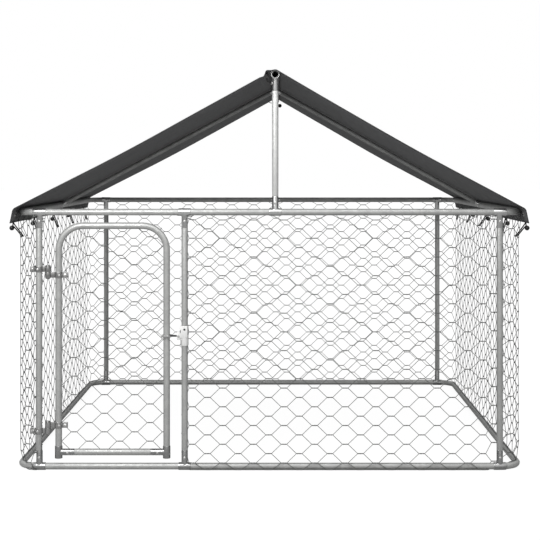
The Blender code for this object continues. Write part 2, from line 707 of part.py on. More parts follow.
def nettingRoute():
    """The netting's route round the pen, seen from above, from the middle post by the right,
    back and left sides to the front left post. Each corner is cut off once, clear of the
    bent rails, and the netting is divided there."""
    reach = CORNER_BEND + netOut
    cut = reach * math.tan(math.pi / 8)
    x, y = postX + reach, postY + reach
    nearX, nearY = postX + cut, postY + cut
    corners = [((nearX, -y), (x, -nearY)), ((x, nearY), (nearX, y)),
               ((-nearX, y), (-x, nearY)), ((-x, -nearY), (-nearX, -y))]
    seams = [((a[0] + b[0]) / 2, (a[1] + b[1]) / 2) for a, b in corners]
    route = {"net_front": [(midPostX, -y), corners[0][0], seams[0]]}
    for i, side in enumerate(("right", "back", "left")):
        route[f"net_{side}"] = [seams[i], corners[i][1], corners[i + 1][0], seams[i + 1]]
    route["net_front_left"] = [seams[3], corners[3][1], (-postX, -y)]
    return route


def wallNet(name, route, rows):
    """A net that stands on edge along a route of straight stretches."""
    spots = [Vector(p) for p in route]
    steps = [(b - a).normalized() for a, b in zip(spots, spots[1:])]
    ends = [0.0]
    for a, b in zip(spots, spots[1:]):
        ends.append(ends[-1] + (b - a).length)
    columns = [x for a, b in zip(ends, ends[1:]) for x in evenly(a, b, NET_COLUMN)] + [ends[-1]]
    columns[0] += (NET_WIRE + FIT) / 2
    columns[-1] -= (NET_WIRE + FIT) / 2

    def where(across, up, out):
        leg = max(i for i in range(len(steps)) if across >= ends[i] - FIT or i == 0)
        outward = Vector((steps[leg].y, -steps[leg].x))
        if leg > 0 and abs(across - ends[leg]) < FIT:
            before = Vector((steps[leg - 1].y, -steps[leg - 1].x))
            outward = (outward + before) / (1 + outward.dot(before))
        spot = spots[leg] + steps[leg] * (across - ends[leg]) + outward * out
        return (spot.x, spot.y, up)

    return net(name, columns, rows, where)


def netting():
    """The nets round the pen, from the middle post to the front left post."""
    low = lowZ + NET_BOTTOM_RISE
    high = highZ - NET_TOP_DROP
    rows = [low + (high - low) * i / NET_ROWS for i in range(NET_ROWS + 1)]
    for name, route in nettingRoute().items():
        place(name, wallNet(name, route, rows))


def gateNet(axis):
    """The gate's own net, behind its tubes, whose edge follows the arch."""
    spring = GATE_TOP - GATE_BEND
    half = GATE_WIDTH / 2
    rows = evenly(GATE_BAR_HEIGHT, spring, NET_COLUMN) + [spring, GATE_TOP]
    columns = evenly(-half, half, GATE_NET_COLUMN) + [half]

    def where(across, up, out):
        bent = max(up - spring, 0)
        reach = half - GATE_BEND + math.sqrt(max(GATE_BEND ** 2 - bent ** 2, 0))
        return (across * reach / half, -out, up)

    mesh = net("gate_net", columns, rows, where, rounded=True)
    behind = frontY + gateNetBack - NET_WIRE / 2
    place("gate_net", mesh, ((gateLeft + gateRight) / 2, behind, 0), parent=axis)


def roofProfile():
    """The roof's section from the left flap's edge to the right flap's, as (x, z, sag) points
    on the sheet's inner face: sag says how far a point sinks between the supports."""
    foldR = sleeveR + ROOF_FOLD_CLEAR
    ridgeR = (eyeR + ROOF_RIDGE_CLEAR) / flat
    halves = []
    for sign in (-1, 1):
        run = sideX - sign * RIDGE_SHIFT
        pitch = math.atan2(RIDGE_RISE, run)
        normal = math.pi / 2 - pitch
        lean = FLAP_LEAN
        edgeX = sideX + foldR * math.cos(lean) + ROOF_FLAP * math.sin(lean)
        edgeZ = highZ + foldR * math.sin(lean) - ROOF_FLAP * math.cos(lean)
        points = [(edgeX, edgeZ, 0)]
        for i in range(ROOF_FOLD_STEPS + 1):
            a = lean + (normal - lean) * i / ROOF_FOLD_STEPS
            points.append((sideX + foldR * math.cos(a), highZ + foldR * math.sin(a), 0))
        top = (sign * RIDGE_SHIFT + ridgeR * math.cos(normal), ridgeZ + ridgeR * math.sin(normal))
        start = points[-1]
        for i in range(1, ROOF_SPAN_STEPS):
            t = i / ROOF_SPAN_STEPS
            points.append((start[0] + (top[0] - start[0]) * t,
                           start[1] + (top[1] - start[1]) * t, math.sin(math.pi * t)))
        points.append((*top, 0))
        halves.append([(sign * x, z, sag) for x, z, sag in points])
    peak = (RIDGE_SHIFT, ridgeZ + ridgeR, 0)
    return halves[0] + [peak] + list(reversed(halves[1]))


def roofSheet():
    """The fabric roof: its section swept along Y, sagging between the rafters and the ends.
    The ball ties that hang in its flaps are one body with it."""
    section = roofProfile()
    count = len(section)
    outward = []
    for i in range(count):
        before = Vector(section[max(i - 1, 0)][:2])
        after = Vector(section[min(i + 1, count - 1)][:2])
        along = (after - before).normalized()
        outward.append(Vector((-along.y, along.x)))
    points = []
    for layer in (0, 1):
        for bay in range(ROOF_BAYS + 1):
            y = roofEnd * (2 * bay / ROOF_BAYS - 1)
            slack = ROOF_SAG * min(1, abs(y) / roofEnd * ROOF_SAG_RAMP)
            for (x, z, sag), out in zip(section, outward):
                off = out * ROOF_SHEET * layer
                points.append((x + off.x, y, z + off.y - slack * sag))
    faces = []
    back = (ROOF_BAYS + 1) * count
    for bay in range(ROOF_BAYS):
        for i in range(count - 1):
            a = bay * count + i
            faces.append((a, a + 1, a + 1 + count, a + count))
            faces.append((back + a, back + a + count, back + a + 1 + count, back + a + 1))
        for i in (0, count - 1):
            a = bay * count + i
            faces.append((a, a + count, back + a + count, back + a))
    for i in range(count - 1):
        for bay in (0, ROOF_BAYS):
            a = bay * count + i
            faces.append((a, back + a, back + a + 1, a + 1))
    sheet = meshOf("roof_cover", points, faces, FABRIC)
    ties = [tie for sign in (-1, 1) for share in TIES for tie in ballTie(sign, share * roofEnd)]
    place("roof_cover", combine("roof_cover", sheet, ties, "UNION", FABRIC))


def flapPoint(sign, rise):
    """A point on a flap's inner face, this far up the flap from its edge."""
    foldR = sleeveR + ROOF_FOLD_CLEAR
    down = ROOF_FLAP - rise
    x = sideX + foldR * math.cos(FLAP_LEAN) + down * math.sin(FLAP_LEAN)
    z = highZ + foldR * math.sin(FLAP_LEAN) - down * math.cos(FLAP_LEAN)
    return sign * x, z


def cord(name, points):
    """A length of elastic cord with flat ends through these points."""
    curve = bpy.data.curves.new(name, "CURVE")
    curve.dimensions = "3D"
    curve.bevel_depth = TIE_CORD / 2
    curve.bevel_resolution = 2
    curve.use_fill_caps = True
    line = curve.splines.new("POLY")
    line.points.add(len(points) - 1)
    for spot, p in zip(line.points, points):
        spot.co = (*p, 1)
    holder = bpy.data.objects.new(name, curve)
    bpy.context.collection.objects.link(holder)
    shape = holder.evaluated_get(bpy.context.evaluated_depsgraph_get())
    mesh = bpy.data.meshes.new_from_object(shape)
    bpy.data.objects.remove(holder)
    return mesh


def ballTie(sign, y):
    """A tie's two solids: an elastic cord from its ball up through the flap, down behind the
    flap, round the netting and back up to the ball, and the ball, outside the flap."""
    path, centre = tieRoute(sign, y)
    return cord("tie_cord", path), ballMesh(centre)


def tieRoute(sign, y):
    """The cord's points and the ball's centre for one tie on the left (-1) or right (+1)."""
    holeX, holeZ = flapPoint(sign, TIE_HOLE_RISE)
    out = sign * TIE_CORD
    turnX = sign * (sideX + netOut + NET_WIRE / 2 + TIE_CORD / 2 + FIT)
    turnY, turnZ = y + TIE_LEAN, holeZ - TIE_DROP
    ballY = y + TIE_LEAN * TIE_BALL_DROP / TIE_DROP
    outside = flapPoint(sign, 0)[0] + sign * (TIE_BALL / 2 + TIE_CORD)
    ball = Vector((outside, ballY, holeZ - TIE_BALL_DROP))
    near = TIE_BALL / 2 - TIE_CORD / 2
    fromBall = [ball + Vector((-sign * 0.2, 0, 1)).normalized() * near]
    throughFlap = [(holeX + 2.2 * out, y, holeZ - TIE_HOLE_HALF),
                   (holeX + 1.2 * out, y, holeZ + TIE_HOLE_HALF / 4),
                   (turnX, y, holeZ),
                   (turnX, y + TIE_LEAN * 0.1, holeZ - 2 * TIE_HOLE_HALF)]
    roundNet = [(turnX, turnY - TIE_TURN, turnZ + 1.5 * TIE_TURN),
                (turnX, turnY, turnZ),
                (turnX + 0.6 * out, turnY + 0.8 * TIE_TURN, turnZ - 0.9 * TIE_TURN),
                (turnX + 1.3 * out, turnY + TIE_TURN, turnZ + TIE_TURN / 4)]
    toBall = [ball + Vector((-sign * 0.6, 0, -1)).normalized() * near]
    return fromBall + throughFlap + roundNet + toBall, ball


def ballMesh(centre):
    work = bmesh.new()
    bmesh.ops.create_uvsphere(work, u_segments=BALL_SEGMENTS, v_segments=BALL_RINGS,
                              radius=TIE_BALL / 2)
    bmesh.ops.translate(work, vec=centre, verts=work.verts)
    mesh = bpy.data.meshes.new("ball")
    work.to_mesh(mesh)
    work.free()
    return mesh


def main():
    clearScene()
    frameRails("bottom", lowZ)
    frameRails("top", highZ)
    tee = straightTee()
    postFittings(tee)
    posts()
    ridge(tee)
    rafters()
    axis = bpy.data.objects.new("gate_axis", None)
    bpy.context.collection.objects.link(axis)
    axis.location = (hingeX, frontY, LOWER_HINGE)
    gateFrame(axis)
    gateNet(axis)
    hinges(axis)
    latch()
    netting()
    roofSheet()


main()
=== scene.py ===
import math
import bmesh
import bpy
import numpy as np
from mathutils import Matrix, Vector


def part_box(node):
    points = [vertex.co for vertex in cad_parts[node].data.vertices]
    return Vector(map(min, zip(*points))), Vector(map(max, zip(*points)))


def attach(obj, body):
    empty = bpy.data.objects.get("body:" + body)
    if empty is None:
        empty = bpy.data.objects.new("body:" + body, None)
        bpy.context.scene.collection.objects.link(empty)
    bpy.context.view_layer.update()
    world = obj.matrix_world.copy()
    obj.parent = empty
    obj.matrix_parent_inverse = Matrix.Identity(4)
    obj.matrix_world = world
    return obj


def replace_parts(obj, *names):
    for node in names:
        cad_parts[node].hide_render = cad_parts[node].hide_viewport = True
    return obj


# Dog playpen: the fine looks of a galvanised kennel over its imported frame. Metres, +Z up, -Y is the front.
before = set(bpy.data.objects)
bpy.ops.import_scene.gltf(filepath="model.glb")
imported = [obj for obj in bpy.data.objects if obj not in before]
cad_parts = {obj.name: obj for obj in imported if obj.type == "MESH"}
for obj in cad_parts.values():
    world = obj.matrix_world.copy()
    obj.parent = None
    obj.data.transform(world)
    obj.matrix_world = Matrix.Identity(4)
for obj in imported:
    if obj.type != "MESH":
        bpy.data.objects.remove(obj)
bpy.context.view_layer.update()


def boxOf(node):
    low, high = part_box(node)
    return np.array(low, float), np.array(high, float)


def middleOf(node):
    low, high = boxOf(node)
    return (low + high) / 2


# Radii and lengths of the tube work
pipes = {
    "rail": 0.013, "post": 0.0125, "pole": 0.0125, "ridge": 0.014, "rafter": 0.011, "gate": 0.013,
    "wall": 0.0012, "fit": 0.0003, "sleeveWall": 0.0015, "sleeveLength": 0.048, "neckShown": 0.048,
    "plugDepth": 0.040, "eyeWall": 0.0022, "eyeLength": 0.040, "eyeNeck": 0.0095, "weld": 0.0022,
    "rafterNeck": 0.012, "gateBend": 0.096, "gateFoot": 0.046,
    "sunk": 0.0004,  # how deep a neck's foot or a screw's washer sits in what it stands on
}
# Places read from the frame
topRail = middleOf("top_rail_front")
ridgeMiddle = middleOf("ridge_tube")
pen = {
    "frontY": float(topRail[1]),
    "postX": float(middleOf("post_front_right")[0]),
    "midPostX": float(middleOf("post_front_middle")[0]),
    "sideX": float(boxOf("top_rail_right")[1][0] - pipes["rail"]),
    "lowZ": float(middleOf("bottom_rail_front")[2]),
    "highZ": float(topRail[2]),
    "ridgeX": float(ridgeMiddle[0]),
    "ridgeZ": float(ridgeMiddle[2]),
    "cornerBend": 0.080,
}


# One shader node of a kind with its settings, and its inputs' values or links by name or as i and a number
def addNode(tree, kind, settings=None, **values):
    node = tree.nodes.new("ShaderNode" + kind)
    for key, value in (settings or {}).items():
        setattr(node, key, value)
    for key, value in values.items():
        socket = node.inputs[int(key[1:])] if key[0] == "i" and key[1:].isdigit() else node.inputs[key]
        if isinstance(value, bpy.types.NodeSocket):
            tree.links.new(value, socket)
        else:
            socket.default_value = value
    return node


def objectPlace(tree):
    return addNode(tree, "TexCoord").outputs["Object"]


def noiseOf(tree, where, scale, detail, **values):
    return addNode(tree, "TexNoise", Vector=where, Scale=scale, Detail=detail, **values).outputs["Fac"]


# operation(a, b, c) of values or links
def calc(tree, operation, *values, clamp=False):
    settings = {"operation": operation, "use_clamp": clamp}
    return addNode(tree, "Math", settings, **{f"i{k}": v for k, v in enumerate(values)}).outputs[0]


# dark (1 - share) + light share
def tintOf(tree, share, dark, light):
    return addNode(tree, "Mix", {"data_type": "RGBA"}, Factor=share, i6=dark, i7=light).outputs[2]


def paint(colour, share=1.0):
    return (*[v * share for v in colour], 1)


# Shared shader groups
def newGroup(name, inputs, outputs):
    group = bpy.data.node_groups.new(name, "ShaderNodeTree")
    for label, kind, value in inputs:
        group.interface.new_socket(label, in_out="INPUT", socket_type=kind).default_value = value
    for label in outputs:
        group.interface.new_socket(label, in_out="OUTPUT", socket_type="NodeSocketFloat")
    return group, group.nodes.new("NodeGroupInput").outputs, group.nodes.new("NodeGroupOutput").inputs


# Zinc spangle: the brightness and roughness of angular crystal patches, with fine grain over them
def spangleGroup():
    group, start, end = newGroup(
        "zincSpangle",
        [("Size", "NodeSocketFloat", 90.0), ("Contrast", "NodeSocketFloat", 0.35), ("Grain", "NodeSocketFloat", 600.0)],
        ("Shade", "Rough", "Height"))
    where = objectPlace(group)
    bend = addNode(group, "TexNoise", Vector=where, Scale=26.0, Detail=3.0)
    pull = addNode(group, "VectorMath", {"operation": "SCALE"}, i0=bend.outputs["Color"], Scale=0.012)
    moved = addNode(group, "VectorMath", {"operation": "ADD"}, i0=where, i1=pull.outputs[0])
    cells = addNode(group, "TexVoronoi", Vector=moved.outputs[0], Scale=start["Size"])
    crystal = addNode(group, "SeparateColor", Color=cells.outputs["Color"])
    blend = calc(group, "ADD", crystal.outputs[0], noiseOf(group, where, 14.0, 4.0, Roughness=0.6))
    spread = calc(group, "MULTIPLY", calc(group, "SUBTRACT", blend, 1.0), start["Contrast"])
    grain = noiseOf(group, where, start["Grain"], 2.0)
    group.links.new(calc(group, "ADD", spread, 0.5, clamp=True), end["Shade"])
    group.links.new(calc(group, "MULTIPLY", crystal.outputs[1], 0.16), end["Rough"])
    group.links.new(calc(group, "MULTIPLY_ADD", grain, 0.4, cells.outputs["Distance"]), end["Height"])
    return group


# Dull weathering: long faint streaks and drawing marks, 0 to 1
def streakGroup():
    group, start, end = newGroup(
        "dullStreaks",
        [("Stretch", "NodeSocketVector", (20.0, 20.0, 3.0)), ("Amount", "NodeSocketFloat", 0.55)],
        ("Mask",))
    scaled = addNode(group, "VectorMath", {"operation": "MULTIPLY"}, i0=objectPlace(group), i1=start["Stretch"])
    noise = noiseOf(group, scaled.outputs[0], 1.0, 5.0, Roughness=0.62)
    steep = addNode(group, "MapRange", Value=noise, **{"From Min": 0.40, "From Max": 0.72})
    group.links.new(calc(group, "MULTIPLY", steep.outputs[0], start["Amount"]), end["Mask"])
    return group


shared = {"spangle": spangleGroup(), "streaks": streakGroup()}


def useGroup(tree, name, **values):
    return addNode(tree, "Group", {"node_tree": shared[name]}, **values).outputs


def newMaterial(name, **values):
    made = bpy.data.materials.new(name)
    made.use_nodes = True
    shader = made.node_tree.nodes["Principled BSDF"]
    for key, value in values.items():
        shader.inputs[key].default_value = value
    return made, made.node_tree, shader


# Joins a colour, a roughness if there is one, and a bump to a material's shader
def dress(tree, shader, colour, rough, height, strength, distance):
    tree.links.new(colour, shader.inputs["Base Color"])
    if rough is not None:
        tree.links.new(rough, shader.inputs["Roughness"])
    bumped = addNode(tree, "Bump", Strength=strength, Distance=distance, Height=height)
    tree.links.new(bumped.outputs[0], shader.inputs["Normal"])


# Hot-dip zinc: crystal patches between a dark and a light grey, dulled by streaks
def galvanised(name, dark, light, size=90.0, contrast=0.5, metallic=0.55, bump=0.0004, roughLow=0.30):
    made, tree, shader = newMaterial(name, Metallic=metallic)
    spangle = useGroup(tree, "spangle", Size=size, Contrast=contrast)
    patches = tintOf(tree, spangle["Shade"], paint(dark), paint(light))
    colour = tintOf(tree, useGroup(tree, "streaks")["Mask"], patches, paint(dark, 0.80))
    dress(tree, shader, colour, calc(tree, "ADD", spangle["Rough"], roughLow), spangle["Height"], 0.35, bump)
    return made


# Bright electroplate: smooth, with faint cloudy variation and fine scratches in the gloss
def zincPlate(name, colour, rough=0.26, metallic=0.75):
    made, tree, shader = newMaterial(name, Metallic=metallic)
    where = objectPlace(tree)
    tint = tintOf(tree, noiseOf(tree, where, 70.0, 4.0), paint(colour, 0.84), paint(colour))
    scratch = noiseOf(tree, where, 900.0, 2.0)
    dress(tree, shader, tint, calc(tree, "MULTIPLY_ADD", scratch, 0.20, rough - 0.1), scratch, 0.15, 0.0002)
    return made


# Coated woven roof cloth: a fine plain weave under the coating, with dusty creases
def fabric(name, warp, weft, weaveUV=True):
    made, tree, shader = newMaterial(name, Roughness=0.72)
    where = addNode(tree, "UVMap", {"uv_map": "clothUV"}).outputs[0] if weaveUV else objectPlace(tree)
    bands = [addNode(tree, "TexWave", {"wave_type": "BANDS", "bands_direction": axis}, Vector=where,
                     Scale=190.0).outputs["Fac"] for axis in "XY"]
    weave = calc(tree, "MULTIPLY", *bands)
    shade = calc(tree, "MULTIPLY_ADD", weave, 0.25, noiseOf(tree, where, 7.0, 6.0, Roughness=0.6))
    high = calc(tree, "MULTIPLY_ADD", noiseOf(tree, where, 30.0, 3.0, Distortion=0.6), 3.0, weave)
    dress(tree, shader, tintOf(tree, shade, paint(warp), paint(weft)), None, high, 0.4, 0.0005)
    return made


# A moulded or braided finish: one colour with mottling and a fine surface grain
def plain(name, colour, rough, spread=0.2, scale=200.0, metallic=0.0):
    made, tree, shader = newMaterial(name, Metallic=metallic)
    noise = noiseOf(tree, objectPlace(tree), scale, 4.0)
    tint = tintOf(tree, noise, paint(colour, 1 - spread), paint(colour, 1 + spread))
    dress(tree, shader, tint, calc(tree, "MULTIPLY_ADD", noise, 0.2, rough - 0.1), noise, 0.2, 0.0002)
    return made


fittingZinc = {"size": 140.0, "contrast": 0.30, "metallic": 0.97, "roughLow": 0.10}
wireZinc = {"size": 160.0, "contrast": 0.3, "metallic": 0.5, "bump": 0.0001}
finishes = {
    "galvanised_steel": {
        "tube": galvanised("galvanisedTube", (0.44, 0.445, 0.44), (0.62, 0.625, 0.61), contrast=0.38, metallic=0.40),
        # Painted shade: a darker copy of the tube's zinc, for the ridge tube and the rafters under the roof
        "shaded": galvanised("galvanisedShaded", (0.34, 0.345, 0.34), (0.52, 0.525, 0.51), metallic=0.40),
        # Painted light: a lighter copy of the tube's zinc, so that the two poles show brighter than the other tubes
        "pole": galvanised("galvanisedPolePaintedLight", (0.62, 0.625, 0.62), (0.82, 0.825, 0.81), contrast=0.38, metallic=0.30),
        "fitting": galvanised("galvanisedFitting", (0.70, 0.705, 0.70), (0.84, 0.845, 0.84), **fittingZinc),
        # Painted shade: a darker copy of the fittings' zinc, for the fittings low down at the rails' feet and the
        # gate's bar
        "shadedFitting": galvanised("galvanisedFittingShade", (0.40, 0.403, 0.40), (0.53, 0.533, 0.53), **fittingZinc),
    },
    "zinc_plate": {
        "plate": zincPlate("zincPlate", (0.50, 0.50, 0.495), rough=0.20, metallic=0.95),
        "bright": zincPlate("zincBright", (0.82, 0.82, 0.81), metallic=0.70),
        "latch": zincPlate("whiteZinc", (0.95, 0.95, 0.94), rough=0.30, metallic=0.15),
        # Painted shade: near-black for the fork's arm and hub, where shade falls between the post and the gate; the
        # prongs of the same fork stay lighter
        "forkArm": plain("forkArmPaintedShade", (0.050, 0.050, 0.052), 0.40, metallic=0.4),
        # Painted shade: near-black for the latch's hole, slit and seam, where only shade lies
        "dark": plain("recessPaintedShade", (0.020, 0.020, 0.021), 0.70),
        "eyelet": zincPlate("eyeletMetal", (0.86, 0.86, 0.84), rough=0.22, metallic=0.8),
        "screw": zincPlate("screwZinc", (0.78, 0.78, 0.77), rough=0.25, metallic=0.7),
    },
    "galvanised_wire": {
        "wire": galvanised("galvanisedWire", (0.13, 0.133, 0.13), (0.25, 0.254, 0.25), **wireZinc),
        # Painted shade: a darker copy of the wire for the back netting
        "wireShaded": galvanised("galvanisedWireShaded", (0.06, 0.061, 0.06), (0.13, 0.132, 0.13), **wireZinc),
    },
    "roof_fabric": {
        "cloth": fabric("roofCloth", (0.120, 0.121, 0.125), (0.185, 0.186, 0.190)),
        "hem": fabric("hemCloth", (0.030, 0.030, 0.031), (0.050, 0.050, 0.052), weaveUV=False),
        "ball": plain("blackBall", (0.007, 0.007, 0.0075), 0.36),
        "elastic": plain("blackElastic", (0.007, 0.007, 0.0075), 0.80, spread=0.5, scale=1400.0),
    },
}
finishes["galvanised_steel"]["eye"] = finishes["zinc_plate"]["bright"]
print("materials ready")


# Mesh helpers
def unit(v):
    return v / np.linalg.norm(v, axis=-1, keepdims=True)


def quarterTurn(count):
    return np.linspace(0, math.pi / 2, count)


def circle(turn):
    return np.stack([np.cos(turn), np.sin(turn)], -1)


# The distance along a line to each of its points
def reachOf(line):
    return np.concatenate([[0], np.cumsum(np.linalg.norm(np.diff(line, axis=0), axis=1))])


# The columns of values that go with reach, read between its places at s
def readOff(s, reach, values):
    return np.stack([np.interp(s, reach, column) for column in values.T], -1)


# cos a up + sin a side for each of a circle's sides
def roundOf(sides, up, side):
    turn = np.arange(sides) * math.tau / sides
    return np.cos(turn)[:, None] * up + np.sin(turn)[:, None] * side


# Quads of a grid of points, rows along and columns round. Closed joins the last column to the first
def gridFaces(rows, columns, closed=True):
    r = np.arange(rows - 1)[:, None]
    c = np.arange(columns if closed else columns - 1)[None, :]
    n = (c + 1) % columns
    a, b = r * columns + c, r * columns + n
    return np.stack([a, b, b + columns, a + columns], axis=-1).reshape(-1, 4)


# A smooth piece from an array of points and an array of quads, in its place in the frame
def pieceOf(name, surface, finish, body="frame"):
    points = np.asarray(surface[0], np.float32).reshape(-1, 3)
    faces = np.asarray(surface[1], np.int32)
    mesh = bpy.data.meshes.new(name)
    mesh.vertices.add(len(points))
    mesh.vertices.foreach_set("co", points.ravel())
    mesh.loops.add(faces.size)
    mesh.loops.foreach_set("vertex_index", faces.ravel())
    mesh.polygons.add(len(faces))
    mesh.polygons.foreach_set("loop_start", np.arange(0, faces.size, 4, dtype=np.int32))
    mesh.polygons.foreach_set("use_smooth", np.ones(len(faces), bool))
    mesh.update(calc_edges=True)
    mesh.validate()
    slot = next(key for key, made in finishes.items() if finish in made)
    mesh.materials.append(finishes[slot][finish])
    made = bpy.data.objects.new(name, mesh)
    bpy.context.collection.objects.link(made)
    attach(made, body)
    return made


# A piece whose rings of no radius are welded into single points
def closedPiece(name, surface, finish, body="frame"):
    piece = pieceOf(name, surface, finish, body)
    work = bmesh.new()
    work.from_mesh(piece.data)
    bmesh.ops.remove_doubles(work, verts=work.verts, dist=0.000002)
    bmesh.ops.recalc_face_normals(work, faces=work.faces)
    work.to_mesh(piece.data)
    work.free()
    return piece


# A metal piece, with the edges sharper than bend degrees left crisp
def onto(surface, finish, name, node=None, body="frame", bend=38):
    piece = closedPiece(name, surface, finish, body)
    piece.data.set_sharp_from_angle(angle=math.radians(bend))
    if node:
        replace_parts(piece, node)


# A metal piece that stands for a node and is named after it
def fine(surface, finish, node, body="frame"):
    onto(surface, finish, f"{node}_fine", node, body)


# Several surfaces as one, each one's quads counting on from the points before it
def joined(parts):
    starts = np.cumsum([0] + [len(points) for points, _ in parts[:-1]])
    return (np.concatenate([points for points, _ in parts]),
            np.concatenate([faces + start for (_, faces), start in zip(parts, starts)]))


# Round wires along paths (wires, points, 3): at each point a ring square to the path, radius times the
# cosine along the facing direction and the sine across it, closed at the ends by a ring of no radius
def tubesAlong(paths, radius, sides, facing):
    wires, count, _ = paths.shape
    step = unit(np.gradient(paths, axis=1))
    across = unit(np.cross(step, np.broadcast_to(facing, paths.shape)))
    up = np.cross(across, step)
    rings = paths[:, :, None] + radius * roundOf(sides, up[:, :, None], across[:, :, None])
    tip = np.repeat(paths[:, [0, -1], None], sides, axis=2)
    rings = np.concatenate([tip[:, :1], rings, tip[:, 1:]], axis=1)
    steps = np.arange(wires)[:, None, None] * (count + 2) * sides
    return rings.reshape(-1, 3), (gridFaces(count + 2, sides)[None] + steps).reshape(-1, 4)


# P(s) = begin + s heading, with a fixed direction up across it
def straightPath(begin, heading, up):
    begin, heading, up = (np.asarray(v, float) for v in (begin, heading, up))
    heading = unit(heading)
    up = unit(up - heading * up.dot(heading))
    side = np.cross(heading, up)

    def at(s):
        return begin + s[:, None] * heading, np.broadcast_to(up, (len(s), 3)), np.broadcast_to(side, (len(s), 3))
    return at


def upFrom(begin):
    return straightPath(begin, (0, 0, 1), (0, -1, 0))


def backFrom(begin):
    return straightPath(begin, (0, 1, 0), (0, 0, 1))


# A flat route that turns left at each corner on an arc: centre - radius n cos t + radius h sin t, with h
# the heading and n the left normal. Distances, points and right-hand normals
def roundedRoute(corners, radius, steps=24):
    corners = np.array(corners, float)
    points, normals = [corners[0]], []
    for a, b, c in zip(corners, corners[1:], corners[2:]):
        h, g = unit(b - a), unit(c - b)
        n = np.array([-h[1], h[0]])
        turn = math.acos(max(-1, min(1, h.dot(g))))
        centre = b - h * radius * math.tan(turn / 2) + n * radius
        if not normals:
            normals.append(-n)
        t = np.linspace(0, turn, steps + 1)[:, None]
        out = -n * np.cos(t) + h * np.sin(t)
        points.extend(centre + radius * out)
        normals.extend(out)
    points, normals = np.array([*points, corners[-1]]), np.array([*normals, normals[-1]])
    return reachOf(points), points, normals


# P(s) read from a flat route, whose two axes and third value stand where the order says
def onRoute(route, order, level, up):
    reach, points, normals = route

    def at(s):
        flat, out = readOff(s, reach, points), unit(readOff(s, reach, normals))
        spot = np.column_stack([flat, np.full(len(s), level)])[:, order]
        return spot, np.broadcast_to(up, spot.shape), np.column_stack([out, np.zeros(len(s))])[:, order]
    return at


# A profile of (s, r) carried round a path: P(s) + r (cos a up + sin a side). The profile closes on itself
# when ring is set, and otherwise runs from pole to pole
def sweep(at, s, r, sides=28, ring=True):
    spot, up, side = at(np.asarray(s, float))
    points = spot[:, None] + np.asarray(r, float)[:, None, None] * roundOf(sides, up[:, None], side[:, None])
    if ring:
        points = np.concatenate([points, points[:1]])
    return points.reshape(-1, 3), gridFaces(len(points), sides)


# A tube's wall as a closed profile: outer and inner runs joined by quarter circles at both ends
def pipeProfile(low, high, outer, inner, lip, runs):
    run = np.linspace(low + lip, high - lip, runs)
    t = quarterTurn(4)[1:-1]
    a, b = lip * np.sin(t), lip * np.cos(t)
    s = [run, high - lip + a, [high, high], high - lip + b, run[::-1], low + lip - a, [low, low], low + lip - b]
    r = [np.full(runs, outer), outer - lip + b, [outer - lip, inner + lip], inner + lip - a,
         np.full(runs, inner), inner + lip - b, [inner + lip, outer - lip], outer - lip + a]
    return np.concatenate(s), np.concatenate(r)


# A solid round rod as a profile from pole to pole, with rounded rims
def rodProfile(low, high, radius, lip=0.0008):
    t = quarterTurn(4)
    a, b = lip * np.sin(t), lip * np.cos(t)
    return (np.concatenate([[low], low + lip - b, high - lip + a, [high]]),
            np.concatenate([[0], radius - lip + a, radius - lip + b, [0]]))


def rod(at, low, high, radius, lip=0.0008, sides=28):
    return sweep(at, *rodProfile(low, high, radius, lip), sides, ring=False)


def pipe(at, low, high, outer, inner, lip=0.0005, sides=28, runs=2):
    return sweep(at, *pipeProfile(low, high, outer, inner, lip, runs), sides)


# A tube of the pen, named in pipes, from low to high along a path
def tube(at, low, high, kind, runs=2):
    return pipe(at, low, high, pipes[kind], pipes[kind] - pipes["wall"], runs=runs)


# The inner and outer radius of a sleeve on a tube, and the radius of a plug inside the tube
def sleeveOn(kind, wall="sleeveWall"):
    inner = pipes[kind] + pipes["fit"]
    return inner, inner + pipes[wall], pipes[kind] - pipes["wall"] - pipes["fit"]


# A neck standing on a sleeve of radius outer: its foot lies on the sleeve's round, at a height of
# sqrt(seat^2 - (r sin a)^2), swells there into a weld and then runs straight on to the plug
def neckOn(centre, heading, axis, outer, neck, shown, plug):
    heading, axis = (unit(np.asarray(v, float)) for v in (heading, axis))
    axis = unit(axis - heading * axis.dot(heading))
    sides, weld, lip, seat = 28, pipes["weld"], 0.0008, outer - pipes["sunk"]
    turn = np.arange(sides) * math.tau / sides
    bow = quarterTurn(6)
    r = np.concatenate([[0, neck * 0.5], neck + weld * (1 - np.sin(bow))])
    lift = np.concatenate([[0, 0], weld * (1 - np.cos(bow))])
    foot = np.sqrt(np.maximum(seat ** 2 - (r[:, None] * np.sin(turn)) ** 2, 0)) + lift[:, None]
    t = quarterTurn(4)
    end = seat + shown
    tailS = np.concatenate([end - lip + lip * np.sin(t), [end + pipes["plugDepth"]] * 2])
    tailR = np.concatenate([neck - lip + lip * np.cos(t[:-1]), [min(neck - lip, plug), plug, 0]])
    s = np.concatenate([foot, np.broadcast_to(tailS[:, None], (len(tailS), sides))])
    r = np.concatenate([r, tailR])[:, None, None]
    points = np.asarray(centre, float) + s[:, :, None] * heading + r * roundOf(sides, axis, np.cross(heading, axis))
    return points.reshape(-1, 3), gridFaces(len(s), sides)


screw = {
    "radius": 0.0042, "washer": 1.2, "face": 0.0005, "dome": 0.0019, "back": -0.001, "sunk": 0.0002,
    "fromSleeve": 0.0205, "fromTee": 0.021, "leafRadius": 0.0036, "leafAside": 0.004,
}


